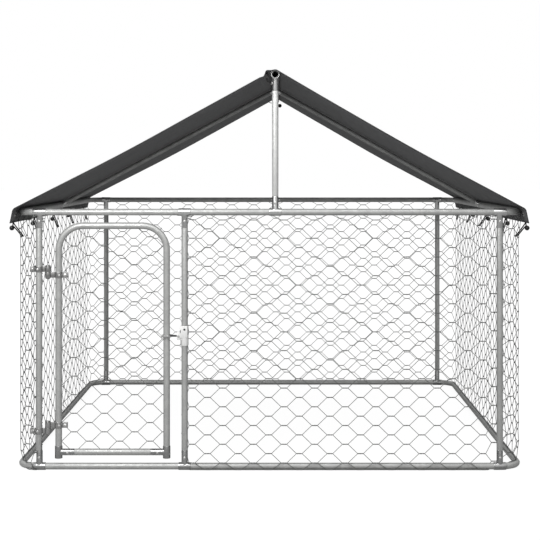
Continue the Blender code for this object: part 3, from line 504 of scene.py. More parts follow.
# A self-tapping screw's head: a washer face with a low dome on it
def screwHead(centre, heading, radius=screw["radius"]):
    at = straightPath(centre, heading, (0, 0, 1))
    bow, washer = quarterTurn(6), radius * screw["washer"]
    s = np.concatenate([[screw["back"], screw["back"], screw["face"]], screw["face"] + screw["dome"] * np.sin(bow)])
    r = np.concatenate([[0, washer, washer], radius * np.cos(bow)])
    return sweep(at, s, r, 18, ring=False)


# The rails' rounded square, anticlockwise from the front left post, a little past its own start
def squareRoute():
    x, y = pen["sideX"], -pen["frontY"]
    pastStart = 0.2 - pen["postX"]
    corners = [(-pen["postX"], -y), (x, -y), (x, y), (-x, y), (-x, -y), (pastStart, -y)]
    return roundedRoute(corners, pen["cornerBend"])


# How far along the rails' square each post and pole stands. The first post is read one lap on, where the
# route has both its sides
def postPlaces():
    width, depth = 2 * pen["postX"], -2 * pen["frontY"] - 2 * pen["cornerBend"]
    right = width + math.pi * pen["cornerBend"] + depth
    return {"front_left": 2 * right, "front_middle": pen["midPostX"] + pen["postX"], "front_right": width,
            "back_right": right, "back_left": right + width,
            "pole_front": pen["ridgeX"] + pen["postX"], "pole_back": right + pen["postX"] - pen["ridgeX"]}


# Both squares of rails, the sleeves on them and the necks that stand on the sleeves
def railsAndFittings():
    places = postPlaces()
    joint, half = pipes["sleeveLength"] / 4, pipes["sleeveLength"] / 2
    ends = [joint, *(places[corner] + way * joint for corner, way in
                     (("front_right", -1), ("back_right", 1), ("back_left", -1), ("front_left", 1)))]
    inner, outer, _ = sleeveOn("rail")
    _, _, plug = sleeveOn("post")
    # The feet's fittings take the darker copy as painted shade, the heads' the lighter one
    for level, z, up, word, finish in (("bottom", pen["lowZ"], 1, "foot", "shadedFitting"),
                                       ("top", pen["highZ"], -1, "head", "fitting")):
        at = onRoute(squareRoute(), [0, 1, 2], z, (0, 0, 1))
        for side, low, high in zip(("front", "right", "back", "left"), ends, ends[1:]):
            runs = 5 if side in ("front", "back") else 150
            onto(tube(at, low + pipes["fit"], high - pipes["fit"], "rail", runs), "tube", f"{level}_tube_{side}",
                 f"{level}_rail_{side}")
        stubs = [(f"{word}_fitting_{corner}", places[corner], up)
                 for corner in ("front_left", "front_middle", "front_right", "back_left", "back_right")]
        if level == "top":
            stubs += [(f"pole_foot_{end}", places[f"pole_{end}"], 1) for end in ("front", "back")]
        for node, middle, way in stubs:
            sleeve = pipe(at, middle - half, middle + half, outer, inner, 0.0007, runs=13)
            spots, _, sides = at(np.array([middle - 0.001, middle, middle + 0.001]))
            neck = neckOn(spots[1], (0, 0, way), spots[2] - spots[0], outer, pipes["post"], pipes["neckShown"], plug)
            screwAt = (spots[1] + sides[1] * (pipes["post"] - screw["sunk"])
                       + np.array([0, 0, way * (outer + screw["fromSleeve"])]))
            fine(joined([sleeve, neck]), finish, node)
            onto(screwHead(screwAt, sides[1]), "screw", f"{node}_screw")
    print("rails and fittings ready")


# The fine ring near a pole's top, and how deep the eye's neck stands in it and how much its plug is thinner
pole = {"ringLow": 0.0098, "ringHigh": 0.0088, "ringOut": 0.0004, "ringIn": 0.0002, "neckIn": 0.0008, "plugIn": 0.0004}


# The five posts, the two poles with the ridge's eyes, and the ridge tube
def uprights():
    for corner in ("front_left", "front_middle", "front_right", "back_left", "back_right"):
        low, high = boxOf(f"post_{corner}")
        at = upFrom((*((low + high) / 2)[:2], 0))
        fine(tube(at, low[2], high[2], "post"), "tube", f"post_{corner}")
    inner, outer, _ = sleeveOn("ridge", "eyeWall")
    half, neckR = pipes["eyeLength"] / 2, pipes["eyeNeck"]
    for end, y in (("front", pen["frontY"]), ("back", -pen["frontY"])):
        low, high = boxOf(f"pole_{end}")[0][2], boxOf(f"pole_{end}")[1][2]
        at = upFrom((pen["ridgeX"], y, 0))
        ring = pipe(at, high - pole["ringLow"], high - pole["ringHigh"], pipes["pole"] + pole["ringOut"],
                    pipes["pole"] - pole["ringIn"], 0.0002)
        # The poles wear the lighter zinc copy, painted light
        fine(joined([tube(at, low, high, "pole"), ring]), "pole", f"pole_{end}")
        centre = np.array([pen["ridgeX"], y, pen["ridgeZ"]])
        eye = pipe(backFrom(centre), -half, half, outer, inner, 0.0010, 40)
        shown = pen["ridgeZ"] - outer + pipes["sunk"] - high + pole["neckIn"]
        neck = neckOn(centre, (0, 0, -1), (0, 1, 0), outer, neckR, shown, neckR - pole["plugIn"])
        fine(joined([eye, neck]), "eye", f"ridge_eye_{end}")
    low, high = boxOf("ridge_tube")
    at = backFrom((pen["ridgeX"], 0, pen["ridgeZ"]))
    # The ridge tube wears the darker zinc copy, painted shade under the roof
    fine(tube(at, low[1], high[1], "ridge"), "shaded", "ridge_tube")
    print("posts, poles and ridge ready")


# The two sloping rafters, their saddles on the side rails and their joint on the ridge
def rafters():
    inner, outer, _ = sleeveOn("rail")
    eyeInner, eyeOuter, _ = sleeveOn("ridge", "eyeWall")
    neckR, shown, plug = pipes["rafter"], pipes["rafterNeck"], sleeveOn("rafter")[2]
    head, half, level = np.array([pen["ridgeX"], 0, pen["ridgeZ"]]), pipes["sleeveLength"] / 2, (0, 1, 0)
    joint = [pipe(straightPath(head, level, (0, 0, 1)), -half, half, eyeOuter, eyeInner, 0.0008, 36)]
    for side, sign in (("left", -1), ("right", 1)):
        foot = np.array([sign * pen["sideX"], 0, pen["highZ"]])
        slope = unit(head - foot)
        sleeve = pipe(straightPath(foot, level, (0, 0, 1)), -half, half, outer, inner, 0.0007)
        neck = neckOn(foot, slope, level, outer, neckR, shown, plug)
        fine(joined([sleeve, neck]), "fitting", f"rafter_saddle_{side}")
        joint.append(neckOn(head, -slope, level, eyeOuter, neckR, shown, plug))
        length = np.linalg.norm(head - foot) - outer - eyeOuter - 2 * shown
        at = straightPath(foot + slope * (outer + shown), slope, level)
        # The rafters wear the darker zinc copy, painted shade under the roof
        fine(tube(at, pipes["fit"], length - pipes["fit"], "rafter"), "shaded", f"rafter_{side}")
    fine(joined(joint), "fitting", "rafter_joint")
    print("rafters ready")


# The middles of the gate's side tubes and of its arch's top, and its bar's height
def gateLines():
    low, high = boxOf("gate_arch")
    return low[0] + pipes["gate"], high[0] - pipes["gate"], high[2] - pipes["gate"], float(middleOf("gate_bar")[2])


# The gate's arch, its bar and the two tees between them
def gateTubes():
    left, right, top, barZ = gateLines()
    y, bottom = pen["frontY"], boxOf("gate_arch")[0][2]
    route = roundedRoute([(right, bottom), (right, top), (left, top), (left, bottom)], pipes["gateBend"])
    at = onRoute(route, [0, 2, 1], y, (0, -1, 0))
    fine(tube(at, 0, route[0][-1], "gate", 170), "tube", "gate_arch", "gate")
    barLow, barHigh = boxOf("gate_bar")
    at = straightPath((0, y, barZ), (1, 0, 0), (0, 0, 1))
    fine(tube(at, barLow[0], barHigh[0], "gate"), "tube", "gate_bar", "gate")
    inner, outer, plug = sleeveOn("gate")
    half = barZ - pipes["gateFoot"]
    for side, x, way in (("left", left, 1), ("right", right, -1)):
        at = upFrom((x, y, barZ))
        sleeve = pipe(at, -half, half, outer, inner, 0.0007)
        neck = neckOn((x, y, barZ), (way, 0, 0), (0, 0, 1), outer, pipes["gate"], pipes["neckShown"], plug)
        end = rod(at, -half + pipes["sunk"], -half + 0.006, plug)
        # The gate's tees take the darker fittings' copy, painted shade
        fine(joined([sleeve, neck, end]), "shadedFitting", f"gate_tee_{side}", "gate")
        screwAt = (x + way * (outer + screw["fromTee"]), y - pipes["gate"] + screw["sunk"], barZ)
        onto(screwHead(screwAt, (0, -1, 0)), "screw", f"gate_tee_{side}_screw", body="gate")
    print("gate tubes ready")


railsAndFittings()
uprights()
rafters()
gateTubes()

# Hinges of bent straps. Heights are the pins' middles
hinge = {
    "strap": 0.0025, "height": 0.022, "gap": 0.0010, "fit": 0.0003, "ear": 0.020, "earGap": 0.0030,
    "knuckle": 0.0118, "reachPost": 0.035, "reachGate": 0.042, "pin": 0.0088, "pinHead": 0.0100,
    "bolt": 0.003, "head": 0.0055, "headHigh": 0.0035, "upper": 0.7785, "lower": 0.1650,
}


# A strap on edge along a flat path: a rounded rectangle, thick across the path and from low to high in Z,
# carried along it and closed at both ends
def strapSolid(path, thick, low, high, edge=0.0006, smoothing=0):
    path = np.asarray(path, float)
    reach = reachOf(path)
    path = readOff(np.linspace(0, reach[-1], max(4, int(reach[-1] / 0.0012))), reach, path)
    for _ in range(smoothing):
        path[1:-1] = (path[:-2] + path[1:-1] * 2 + path[2:]) / 4
    step = unit(np.gradient(path, axis=0))
    normal = np.stack([-step[:, 1], step[:, 0]], -1)
    corners = ((1, 1), (-1, 1), (-1, -1), (1, -1))
    t = quarterTurn(4)
    across = np.concatenate([sx * (thick / 2 - edge) + edge * np.cos(t + k * math.pi / 2)
                             for k, (sx, _) in enumerate(corners)])
    upward = np.concatenate([sy * ((high - low) / 2 - edge) + edge * np.sin(t + k * math.pi / 2)
                             for k, (_, sy) in enumerate(corners)]) + (low + high) / 2
    rings = np.concatenate([path[:, None] + normal[:, None] * across[None, :, None],
                            np.broadcast_to(upward[None, :, None], (len(path), len(upward), 1))], -1)
    tip = rings[[0, -1]].mean(axis=1, keepdims=True).repeat(len(upward), axis=1)
    rings = np.concatenate([tip[:1], rings, tip[1:]])
    return rings.reshape(-1, 3), gridFaces(len(rings), len(upward))


# One bent strap from ear to ear, its tube at the origin and its pin at +X reach: round one side of the
# tube, along to the pin, round it, and back round the tube's other side
def leafStrap(tubeRadius, reach):
    thick = hinge["strap"]
    a, b = tubeRadius + hinge["fit"] + thick / 2, hinge["knuckle"] - thick / 2
    ear, web = hinge["earGap"] / 2 + thick / 2, thick / 2 + 0.0001
    tip = -(tubeRadius + hinge["fit"] + thick + hinge["ear"])
    band = np.linspace(math.pi - math.asin(ear / a), math.asin(web / a), 40)
    loop = np.linspace(math.pi - math.asin(web / b), 0, 24)
    half = np.concatenate([[(tip, ear)], a * circle(band),
                           np.array([reach, 0]) + b * circle(loop)])
    return np.concatenate([half, (half * (1, -1))[-2::-1]])


# A clamp bolt along Y: a domed head on a washer in front, the shank, and a hexagon nut behind
def boltParts(centre):
    head, high, grip = hinge["head"], hinge["headHigh"], hinge["earGap"] / 2 + hinge["strap"]
    at = straightPath(centre, (0, -1, 0), (0, 0, 1))
    bow = quarterTurn(8)
    dome = sweep(at, np.concatenate([[grip, grip], grip + 0.0006 + high * np.sin(bow)]),
                 np.concatenate([[0, head], head * np.cos(bow)]), 26, ring=False)
    return joined([dome, rod(at, grip - 0.0002, grip + 0.0008, head * 1.28, 0.0003, 26),
                   rod(at, -grip - high - 0.0012, grip, hinge["bolt"], 0.0005, 18),
                   rod(at, -grip - high, -grip, head * 1.05, 0.0006, 6)])


# Two clamp hinges. The upper one carries the gate's leaf under the post's, the lower one over it
def hinges():
    postX, gateX, y = -pen["postX"], gateLines()[0], pen["frontY"]
    above, below = hinge["gap"] / 2, -hinge["gap"] / 2 - hinge["height"]
    for name, postBase, gateBase in (("upper", above, below), ("lower", below, above)):
        z = hinge[name]
        for part, tubeX, tubeR, reach, way, base, body in (
                ("post", postX, pipes["post"], hinge["reachPost"], 1, postBase, "frame"),
                ("gate", gateX, pipes["gate"], hinge["reachGate"], -1, gateBase, "gate")):
            label, outer = f"hinge_{name}_{part}", tubeR + hinge["fit"] + hinge["strap"]
            leaf = strapSolid(leafStrap(tubeR, reach) * (way, 1) + (tubeX, y), hinge["strap"], z + base,
                              z + base + hinge["height"], smoothing=2)
            onto(leaf, "plate", f"{label}_strap", f"{label}_leaf", body)
            middle = z + base + hinge["height"] / 2
            boltAt = (tubeX - way * (outer + hinge["ear"] / 2), y, middle)
            onto(boltParts(boltAt), "bright", f"{label}_fastener", f"{label}_bolt", body)
            screwAt = (tubeX - way * screw["leafAside"], y - outer + screw["sunk"], middle)
            onto(screwHead(screwAt, (0, -1, 0), screw["leafRadius"]), "bright", f"{label}_screw", body=body)
        at = upFrom((postX + hinge["reachPost"], y, z))
        half = hinge["gap"] / 2 + hinge["height"] + hinge["fit"]
        pin = [rod(at, -half, half, hinge["pin"]), rod(at, half, half + 0.004, hinge["pinHead"], 0.0014),
               rod(at, -half - 0.004, -half, hinge["pinHead"], 0.0010, 6)]
        onto(joined(pin), "plate", f"hinge_{name}_pivot", f"hinge_{name}_pin")
    print("hinges ready")


# A box with rounded edges: each point of six square grids is drawn in to the box less its edge and pushed
# out again by the edge's radius
def roundedBox(low, high, edge, steps=4):
    low, high = np.asarray(low, float), np.asarray(high, float)
    bow = (1 - np.cos(np.linspace(0, 1, steps + 1) * math.pi / 2)) * 0.5
    line = np.unique(np.concatenate([bow, 1 - bow]))
    marks = [low[k] + 2 * edge * line + (high[k] - low[k] - 2 * edge) * (line > 0.5) for k in range(3)]
    parts, n = [], len(line)
    for k in range(3):
        for value in (low[k], high[k]):
            grid = np.empty((n, n, 3))
            grid[..., k] = value
            grid[..., (k + 1) % 3], grid[..., (k + 2) % 3] = marks[(k + 1) % 3][:, None], marks[(k + 2) % 3][None, :]
            parts.append((grid.reshape(-1, 3), gridFaces(n, n, closed=False)))
    points, faces = joined(parts)
    core = np.clip(points, low + edge, high - edge)
    away = points - core
    return core + away / np.maximum(np.linalg.norm(away, axis=1, keepdims=True), 1e-9) * edge, faces


latch = {
    "height": 0.527, "reach": 0.024, "top": 0.040, "below": 0.038, "earHigh": 0.030, "hub": 0.0065,
    "hubWide": 0.016, "prong": 0.004, "bar": 0.007, "length": 0.069, "clear": 0.0008, "pin": 0.003, "bend": 0.006,
    "head": 0.005, "headHigh": 0.002, "housing": ((-0.0185, -0.0153, -0.0075), (0.0118, -0.0083, 0.0397)),
    # painted shade marks, near-black pieces in the hole, the slit and the seam: how far they stand out, the hole's
    # height, and the corners of the slit, from the housing's front, and of the seam, from the collar's side
    "markOut": 0.0003, "hole": 0.0261, "slit": ((-0.0172, -0.0003, 0.0130), (-0.0148, 0.0020, 0.0240)),
    "seam": ((-0.0004, -0.0075, -0.0375), (0.0012, -0.0045, -0.0085)),
}


# The latch: collar, cheeks and housing on the middle post, the pivot pin, and the fork over the gate
def gateLatch():
    middle = np.array([pen["midPostX"], pen["frontY"], latch["height"]])
    hold = pipes["post"] + pipes["fit"]
    outer, ear = hold + hinge["strap"], latch["hubWide"] / 2 + pipes["fit"]
    at = upFrom(middle)
    parts = [pipe(at, -latch["below"], latch["top"], outer, hold, 0.0008, 40)]
    for way in (-1, 1):
        inner, outside = sorted((way * ear, way * (ear + hinge["strap"])))
        parts.append(roundedBox(middle + (-latch["reach"] - latch["hub"], inner, -latch["earHigh"] / 2),
                                middle + (-hold * 0.7, outside, latch["earHigh"] / 2), 0.0009))
    low, high = (np.array(corner) for corner in latch["housing"])
    parts.append(roundedBox(middle + low, middle + high, 0.0022))
    onto(joined(parts), "latch", "latch_body", "latch_collar")
    front = low[1] - latch["markOut"]
    hole = rod(backFrom(middle + (0, front, latch["hole"])), 0, 0.002, 0.0042, 0.0003, 24)
    slit, seam = (roundedBox(middle + begin + place, middle + end + place, 0.0003) for (begin, end), place in
                  ((latch["slit"], (0, low[1], 0)), (latch["seam"], (-outer, 0, 0))))
    # Near-black painted shade in the latch's hole, slit and seam
    onto(joined([hole, slit, seam]), "dark", "latch_painted_shade")
    pivot = middle + (-latch["reach"], 0, 0)
    grip = ear + hinge["strap"] + pipes["fit"]
    across = straightPath(pivot, (0, -1, 0), (0, 0, 1))
    pin = [rod(across, -grip - 0.001, grip + 0.001, latch["pin"], 0.0004, 20)]
    pin += [rod(across, base, base + latch["headHigh"], latch["head"], 0.0009, 26)
            for base in (grip, -grip - latch["headHigh"])]
    onto(joined(pin), "bright", "latch_pivot", "latch_pin")
    halfFork = pen["frontY"] - float(boxOf("latch_fork")[0][1]) - latch["prong"] / 2
    crossX = float(boxOf("gate_arch")[1][0]) + 2 * latch["clear"] - pivot[0] + latch["bar"] / 2
    bend, turn = latch["bend"], quarterTurn(8)
    side = np.concatenate([[(-latch["length"] + 0.001, halfFork), (crossX - bend, halfFork)],
                           np.stack([crossX - bend + bend * np.sin(turn), halfFork - bend + bend * np.cos(turn)], -1)])
    prongs = np.concatenate([side, (side * (1, -1))[::-1]]) + pivot[:2]
    lowZ, highZ = pivot[2] - latch["bar"] / 2, pivot[2] + latch["bar"] / 2
    fork = strapSolid(prongs, latch["prong"], lowZ, highZ, edge=0.0015, smoothing=1)
    onto(fork, "plate", "fork_prongs", "latch_fork", "latch_fork", bend=50)
    # The arm and hub in near-black as painted shade; the prongs in the lighter plate
    arm = strapSolid([pivot[:2] + (-0.002, 0), pivot[:2] + (crossX, 0)], latch["bar"], lowZ, highZ, edge=0.0016)
    hub = pipe(across, -latch["hubWide"] / 2, latch["hubWide"] / 2, latch["hub"],
               latch["pin"] + pipes["fit"], 0.0008, 30)
    onto(joined([arm, hub]), "forkArm", "fork_arm", body="latch_fork", bend=50)
    print("latch ready")


hinges()
gateLatch()

# Netting round the pen
netting = {
    "column": 0.0601,  # between columns of twists
    "rowStep": 0.03675,  # half the height of a gap
    "firstRow": 0.0303,  # height of the lowest twists
    "phase": 0.538,  # a column of the front whose lowest twist is a whole one
    "rows": 27, "twist": 0.0246, "turns": 2, "perTurn": 6, "sides": 5,
    "wire": 0.00124,  # radius
    "bottom": 0.0030, "top": 1.0070,
    "out": 0.0169,  # from the rails' middle
    "overlap": 0.021,  # how much more of the front's net is folded in under the rail
    "foldAt": (0.966, 0.980, 0.992, 1.004, 1.016, 1.028),  # heights on the flat net
    "foldIn": (0.0, 0.003, 0.010, 0.020, 0.0295, 0.0315),  # how far in they come
    "foldUp": (0.966, 0.9790, 0.9885, 0.9945, 0.9985, 1.0060),  # and at what height
    "unfoldedTop": 0.9972, "unfolded": (0.022, 0.047),  # away from a post, where the fold begins and is whole
    "wrap": 0.0150, "leave": 8, "wound": 150,  # radius of the wires round an end post, and degrees of their ends
    "behind": 0.0322,  # how far in the net goes to pass behind the front right post
    "behindAt": -0.004, "behindHalf": 0.014, "behindWide": 0.030,  # from the post, and along the route
    "pulled": 0.015, "pulledWide": 0.035,  # how far the column there is drawn towards the middle post
    "slack": 0.0088,  # how far the side nets lie in, between their rails
    "sideBottom": 0.0285, "sideTop": (0.90, 0.97), "sideFoot": (0.0305, 0.075),  # and the heights where that fades
    "sideEnds": ((0.015, -0.10), (0.02, -0.045)), "sideRamp": 0.04,  # where it begins and ends, from the corners
    "stretch": 0.0071,  # how much longer the right side's net is pulled than it was made
    "rimWide": 1.15, "rimIn": 1.6,  # the edge wires' radius and how far in they lie, in wires' radii
}
# The gate's net, made the same way
gateNet = {
    "column": 0.0600, "rowStep": 0.0367, "firstRow": 0.1088, "phase": -0.592, "rows": 24, "twist": 0.0246,
    "turns": 2, "perTurn": 6, "sides": 5, "wire": 0.00120, "rim": 0.0013,
}


# A step from 0 to 1 between low and high: 3 t^2 - 2 t^3
def smoothStep(value, low, high):
    t = np.clip((value - low) / (high - low), 0, 1)
    return t * t * (3 - 2 * t)


# Wires of a hexagonal net as (across, up, out) points. Wire j runs level at its mean height, and at each
# column of twists it goes half a step up or down to wind round its neighbour: up where j plus the column's
# number is even. Round a twist's axis it stands at minus or plus the cosine of the winding angle in height,
# and the sine in depth, times the wire's radius
def wirePaths(first, last, rows, low, high, start, parity, make=netting):
    winding = np.linspace(0, 1, make["turns"] * make["perTurn"] + 1)
    columns, wires = np.arange(first, last + 1), np.arange(rows + 1)
    across = (start + columns[:, None] * make["column"]) + (winding[None, :] - 0.5) * make["twist"]
    goesUp = (wires[:, None] + columns[None, :] + parity) % 2 == 0
    side = np.where(goesUp, 1.0, -1.0)[:, :, None]
    middle = low + (wires[:, None, None] + side / 2) * make["rowStep"]
    angle = winding[None, None, :] * math.tau * make["turns"]
    up = np.where(middle > high, high, middle - side * np.cos(angle) * make["wire"])
    out = np.where((middle > high) | (middle < low - make["rowStep"] / 4), 0.0, -side * np.sin(angle) * make["wire"])
    return np.stack([np.broadcast_to(across[None], up.shape), up, out], axis=-1).reshape(rows + 1, -1, 3)


# An arc seen from above, with the outward direction at each point, turned inward when way is -1
def arcAt(x, y, radius, begin, end, count, way=1):
    turn = np.radians(np.linspace(begin, end, count))
    out = circle(turn)
    return np.array([x, y]) + radius * out, way * out


# The netting's route seen from above, by distance from the middle post: out from behind the post, straight
# sides and quarter circles round the bent rails, and in behind the front left post
def penRoute():
    reach, r, leave = pen["cornerBend"] + netting["out"], netting["wrap"], math.radians(netting["leave"])
    x, y = pen["postX"], -pen["frontY"] - pen["cornerBend"]
    drop = (netting["out"] + r * math.sin(leave)) / math.cos(leave)
    step = r * math.cos(leave) + drop * math.sin(leave)
    first = arcAt(pen["midPostX"], pen["frontY"], r, netting["wound"], netting["leave"], 26, -1)
    parts = [first, (np.array([[pen["midPostX"] + step, -y - reach]]), np.array([[0.0, -1.0]]))]
    parts += [arcAt(cx, cy, reach, turn, turn + 90, 25) for cx, cy, turn in
              ((x, -y, -90), (x, y, 0), (-x, y, 90), (-x, -y, 180))]
    parts[-1][0][-1], parts[-1][1][-1] = (-x - step, -y - reach), (0.0, -1.0)
    parts.append(arcAt(-x, pen["frontY"], r, 180 - netting["leave"], 180 - netting["wound"], 26, -1))
    points, outward = (np.concatenate([part[k] for part in parts]) for k in (0, 1))
    along = reachOf(points)
    keep = np.concatenate([[True], np.diff(along) > 1e-6])
    along += step - along[len(first[0])]
    return along[keep], points[keep], outward[keep]


# Places for (across, up, out) points, along the route, out from it and up, and the way they face
def aroundPen(local, along, points, outward):
    facing = readOff(local[..., 0], along, outward)
    place = readOff(local[..., 0], along, points) + facing * local[..., 2:]
    return np.concatenate([place, local[..., 1:2]], -1), np.concatenate([facing, 0 * local[..., :1]], -1)


# The front net's top folded in under the rail, away from the posts, where it stands up straight
def foldedUnder(part, posts):
    moved, up = part.copy(), part[..., 1]
    free = np.min([smoothStep(np.abs(part[..., 0] - post), *netting["unfolded"]) for post in posts], axis=0)
    straight = np.minimum(up, netting["unfoldedTop"])
    folded = np.where(up > netting["foldAt"][0], np.interp(up, netting["foldAt"], netting["foldUp"]), up)
    moved[..., 2] -= free * np.interp(up, netting["foldAt"], netting["foldIn"])
    moved[..., 1] = straight + free * (folded - straight)
    return moved


# The net drawn in behind a post, and its columns drawn aside, a bell curve exp(-t^2)
def roundThePost(part, post):
    moved, away = part.copy(), part[..., 0] - post
    near = netting["behindHalf"]
    passed = 1 - smoothStep(np.abs(away - netting["behindAt"]), near, near + netting["behindWide"])
    moved[..., 2] -= netting["behind"] * passed
    moved[..., 0] -= netting["pulled"] * np.exp(-(away / netting["pulledWide"]) ** 2)
    return moved


# The sides' net standing on its bottom rail, in line with the rails between them
def overSideRails(part, spans):
    moved, across, up, ramp = part.copy(), part[..., 0], part[..., 1], netting["sideRamp"]
    share = np.max([smoothStep(across, low, low + ramp) * (1 - smoothStep(across, high - ramp, high))
                    for low, high in spans], axis=0)
    foot = 1 - smoothStep(up, *netting["sideFoot"])
    moved[..., 1] = up + share * (np.maximum(up, netting["sideBottom"]) - up)
    moved[..., 2] -= share * (netting["slack"] * (1 - smoothStep(up, *netting["sideTop"]))
                              + (netting["out"] - netting["slack"]) * foot)
    return moved


# The part of each wire between two places along the route, with its cut ends put on these places
def cutWires(local, low, high):
    u = local[0, :, 0]
    ends = [np.stack([readOff(edge, u, wire) for wire in local])[:, None] for edge in (low, high)]
    return np.concatenate([ends[0], local[:, (u > low) & (u < high)], ends[1]], axis=1)


# The netting round the pen in five pieces, which meet at the corners' middles
def wallNets():
    route = penRoute()
    firstColumn = (netting["phase"] - pen["midPostX"]) % (2 * netting["column"])
    quarter = math.pi / 2 * (pen["cornerBend"] + netting["out"])
    side, rightPost = 2 * pen["postX"], pen["postX"] - pen["midPostX"]
    firstCorner, lap = rightPost + quarter / 2, rightPost + 3 * side + 4 * quarter
    turned = side + 2 * quarter
    corners = np.array([(rightPost, rightPost + turned), (rightPost + side + turned, lap)])
    sideSpans = corners + netting["sideEnds"]
    seams = [route[0][0]] + [firstCorner + k * (side + quarter) for k in range(4)] + [route[0][-1]]
    for k, name in enumerate(("front", "right", "back", "left", "front_left")):
        inFront = name.startswith("front")
        top = netting["top"] + netting["overlap"] * inFront
        local = wirePaths(-3, 123, netting["rows"] + inFront, netting["firstRow"] - netting["rowStep"] / 2, top,
                          firstColumn, 0)
        local[..., 1] = np.maximum(local[..., 1], netting["bottom"])
        local[..., 0] += netting["stretch"] * smoothStep(local[..., 0], firstCorner, firstCorner + side)
        low, high = seams[k], seams[k + 1]
        edge = np.linspace(low, high, max(8, int((high - low) / 0.01)))
        parts = [cutWires(local, low, high)]
        inward = np.full_like(edge, -netting["wire"] * netting["rimIn"])
        parts += [np.stack([edge, np.full_like(edge, height), inward], -1)[None] for height in (netting["bottom"], top)]
        if inFront:
            parts = [foldedUnder(part, (0, rightPost, lap)) for part in parts]
        parts = [overSideRails(part, sideSpans) for part in parts]
        if name == "front":
            parts = [roundThePost(part, rightPost) for part in parts]
        for part, label in zip(parts, ("", "_bottom_selvedge", "_top_selvedge")):
            spots, facing = aroundPen(part, *route)
            # The back netting's wires take the darker wire copy, painted shade
            finish = "wireShaded" if name == "back" and not label else "wire"
            wide, sides = (netting["rimWide"], 6) if label else (1, netting["sides"])
            wires = tubesAlong(spots, netting["wire"] * wide, sides, facing)
            piece = closedPiece(f"wires_{name}{label}", wires, finish)
            if not label:
                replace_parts(piece, f"net_{name}")
        print("netting", name, "ready")


# The gate's own netting, behind its tubes: every wire ends just past the tubes' middles, and above the
# arch's springing it ends where the arch does
def gateWires():
    left, right, top, bottom = gateLines()
    netLow, netHigh = boxOf("gate_net")
    depth, bend, facing = (netLow[1] + netHigh[1]) / 2, pipes["gateBend"], (0.0, -1.0, 0.0)
    lowest = gateNet["firstRow"] - gateNet["rowStep"] * 1.5
    local = wirePaths(-5, 5, gateNet["rows"], lowest, 2.0, gateNet["phase"], 1, gateNet)
    parts, spring = [], top - bend
    for wire in local:
        u, v = wire[:, 0], wire[:, 1]
        reach = np.sqrt(np.maximum(bend ** 2 - np.clip(v - spring, 0, bend) ** 2, 0)) - bend
        inside = (v > bottom) & (v < top) & (u > left - reach) & (u < right + reach)
        edges = np.flatnonzero(np.diff(np.concatenate([[0], inside.astype(int), [0]])))
        for a, b in edges.reshape(-1, 2):
            part = wire[max(a - 1, 0):min(b + 1, len(wire))]
            if len(part) < 3:
                continue
            x, z = np.clip(part[:, 0], left, right), np.clip(part[:, 1], bottom, top)
            spots = np.stack([x, depth - part[:, 2], z], -1)
            keep = np.concatenate([[True], np.linalg.norm(np.diff(spots, axis=0), axis=1) > 1e-5])
            parts.append(tubesAlong(spots[keep][None], gateNet["wire"], gateNet["sides"], facing))
    turn = quarterTurn(10)
    arc = circle(turn) * bend
    rim = np.concatenate([[(left, bottom), (right, bottom)], (right - bend, spring) + arc,
                          (left + bend, spring) + arc[::-1] * (-1, 1), [(left, bottom)]])
    rim = np.stack([rim[:, 0], np.full(len(rim), depth - 0.0002), rim[:, 1]], axis=-1)
    parts.append(tubesAlong(rim[None], gateNet["rim"], 6, facing))
    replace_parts(closedPiece("wires_gate", joined(parts), "wire", "gate"), "gate_net")
    print("gate netting ready")


wallNets()
gateWires()

# Roof
roof = {
    "halfLength": 1.020, "hemWide": 0.030, "hemStep": 0.0005, "roll": 0.0021, "foldRadius": 0.0148 + 0.0050,
    "ridgeRadius": 0.0172, "flap": 0.048, "lean": math.radians(12), "sag": 0.0085, "thickness": 0.0010,
    "across": 120, "along": 100, "crown": (-0.07, 0.02, 46),  # steps, and finer ones from the peak
    "nearEnd": (0.09, 19), "slackRise": 1.6,  # finer steps there, and how soon the sag is whole
    "rollOut": 0.9, "rollIn": 0.55, "flapRollIn": 0.5,  # where the rolled hems lie, in their radii
    "waves": ((0.0007, 31, 9, 0.0), (0.0010, 13, -5, 1.3)),  # height, waves along and across, and start
    "tieWaves": (0.0020, 23, 0.030, 0.03),  # height, waves along, width of a tie's pull, and how far up they reach
    # where the front edge is bunched up left of the ridge: depth, then height, middle and width of each curve
    "bunchDeep": 0.045, "bunch": (0.0112, -0.0060, 0.0085), "bunchRight": 0.0130, "hollow": (-0.0030, -0.0260, 0.0070),
}
ties = {
    "along": [share * roof["halfLength"] for share in (-0.93, -0.465, 0.0, 0.465, 0.93)],
    "cord": 0.0025, "ball": 0.0100, "apart": 0.0027,
    "hole": (0.0225, 0.0, -0.0105),  # from the side rail's middle
    "hem": (0.0335, 0.019, -0.0400),
    "join": (0.0330, 0.029, -0.0560),
    "turn": (0.0110, 0.085, -0.0990),
    "ballFrom": (0.0075, -0.004, -0.0095),  # from the join
    "sway": {"left": (1, -0.6, -0.3, -0.8, -1), "right": (1, -0.6, 1, 0.1, -1)},  # how far each leans to the back
    "eyelet": (0.0070, 0.0026),  # the ring's mean radius and half its width
}


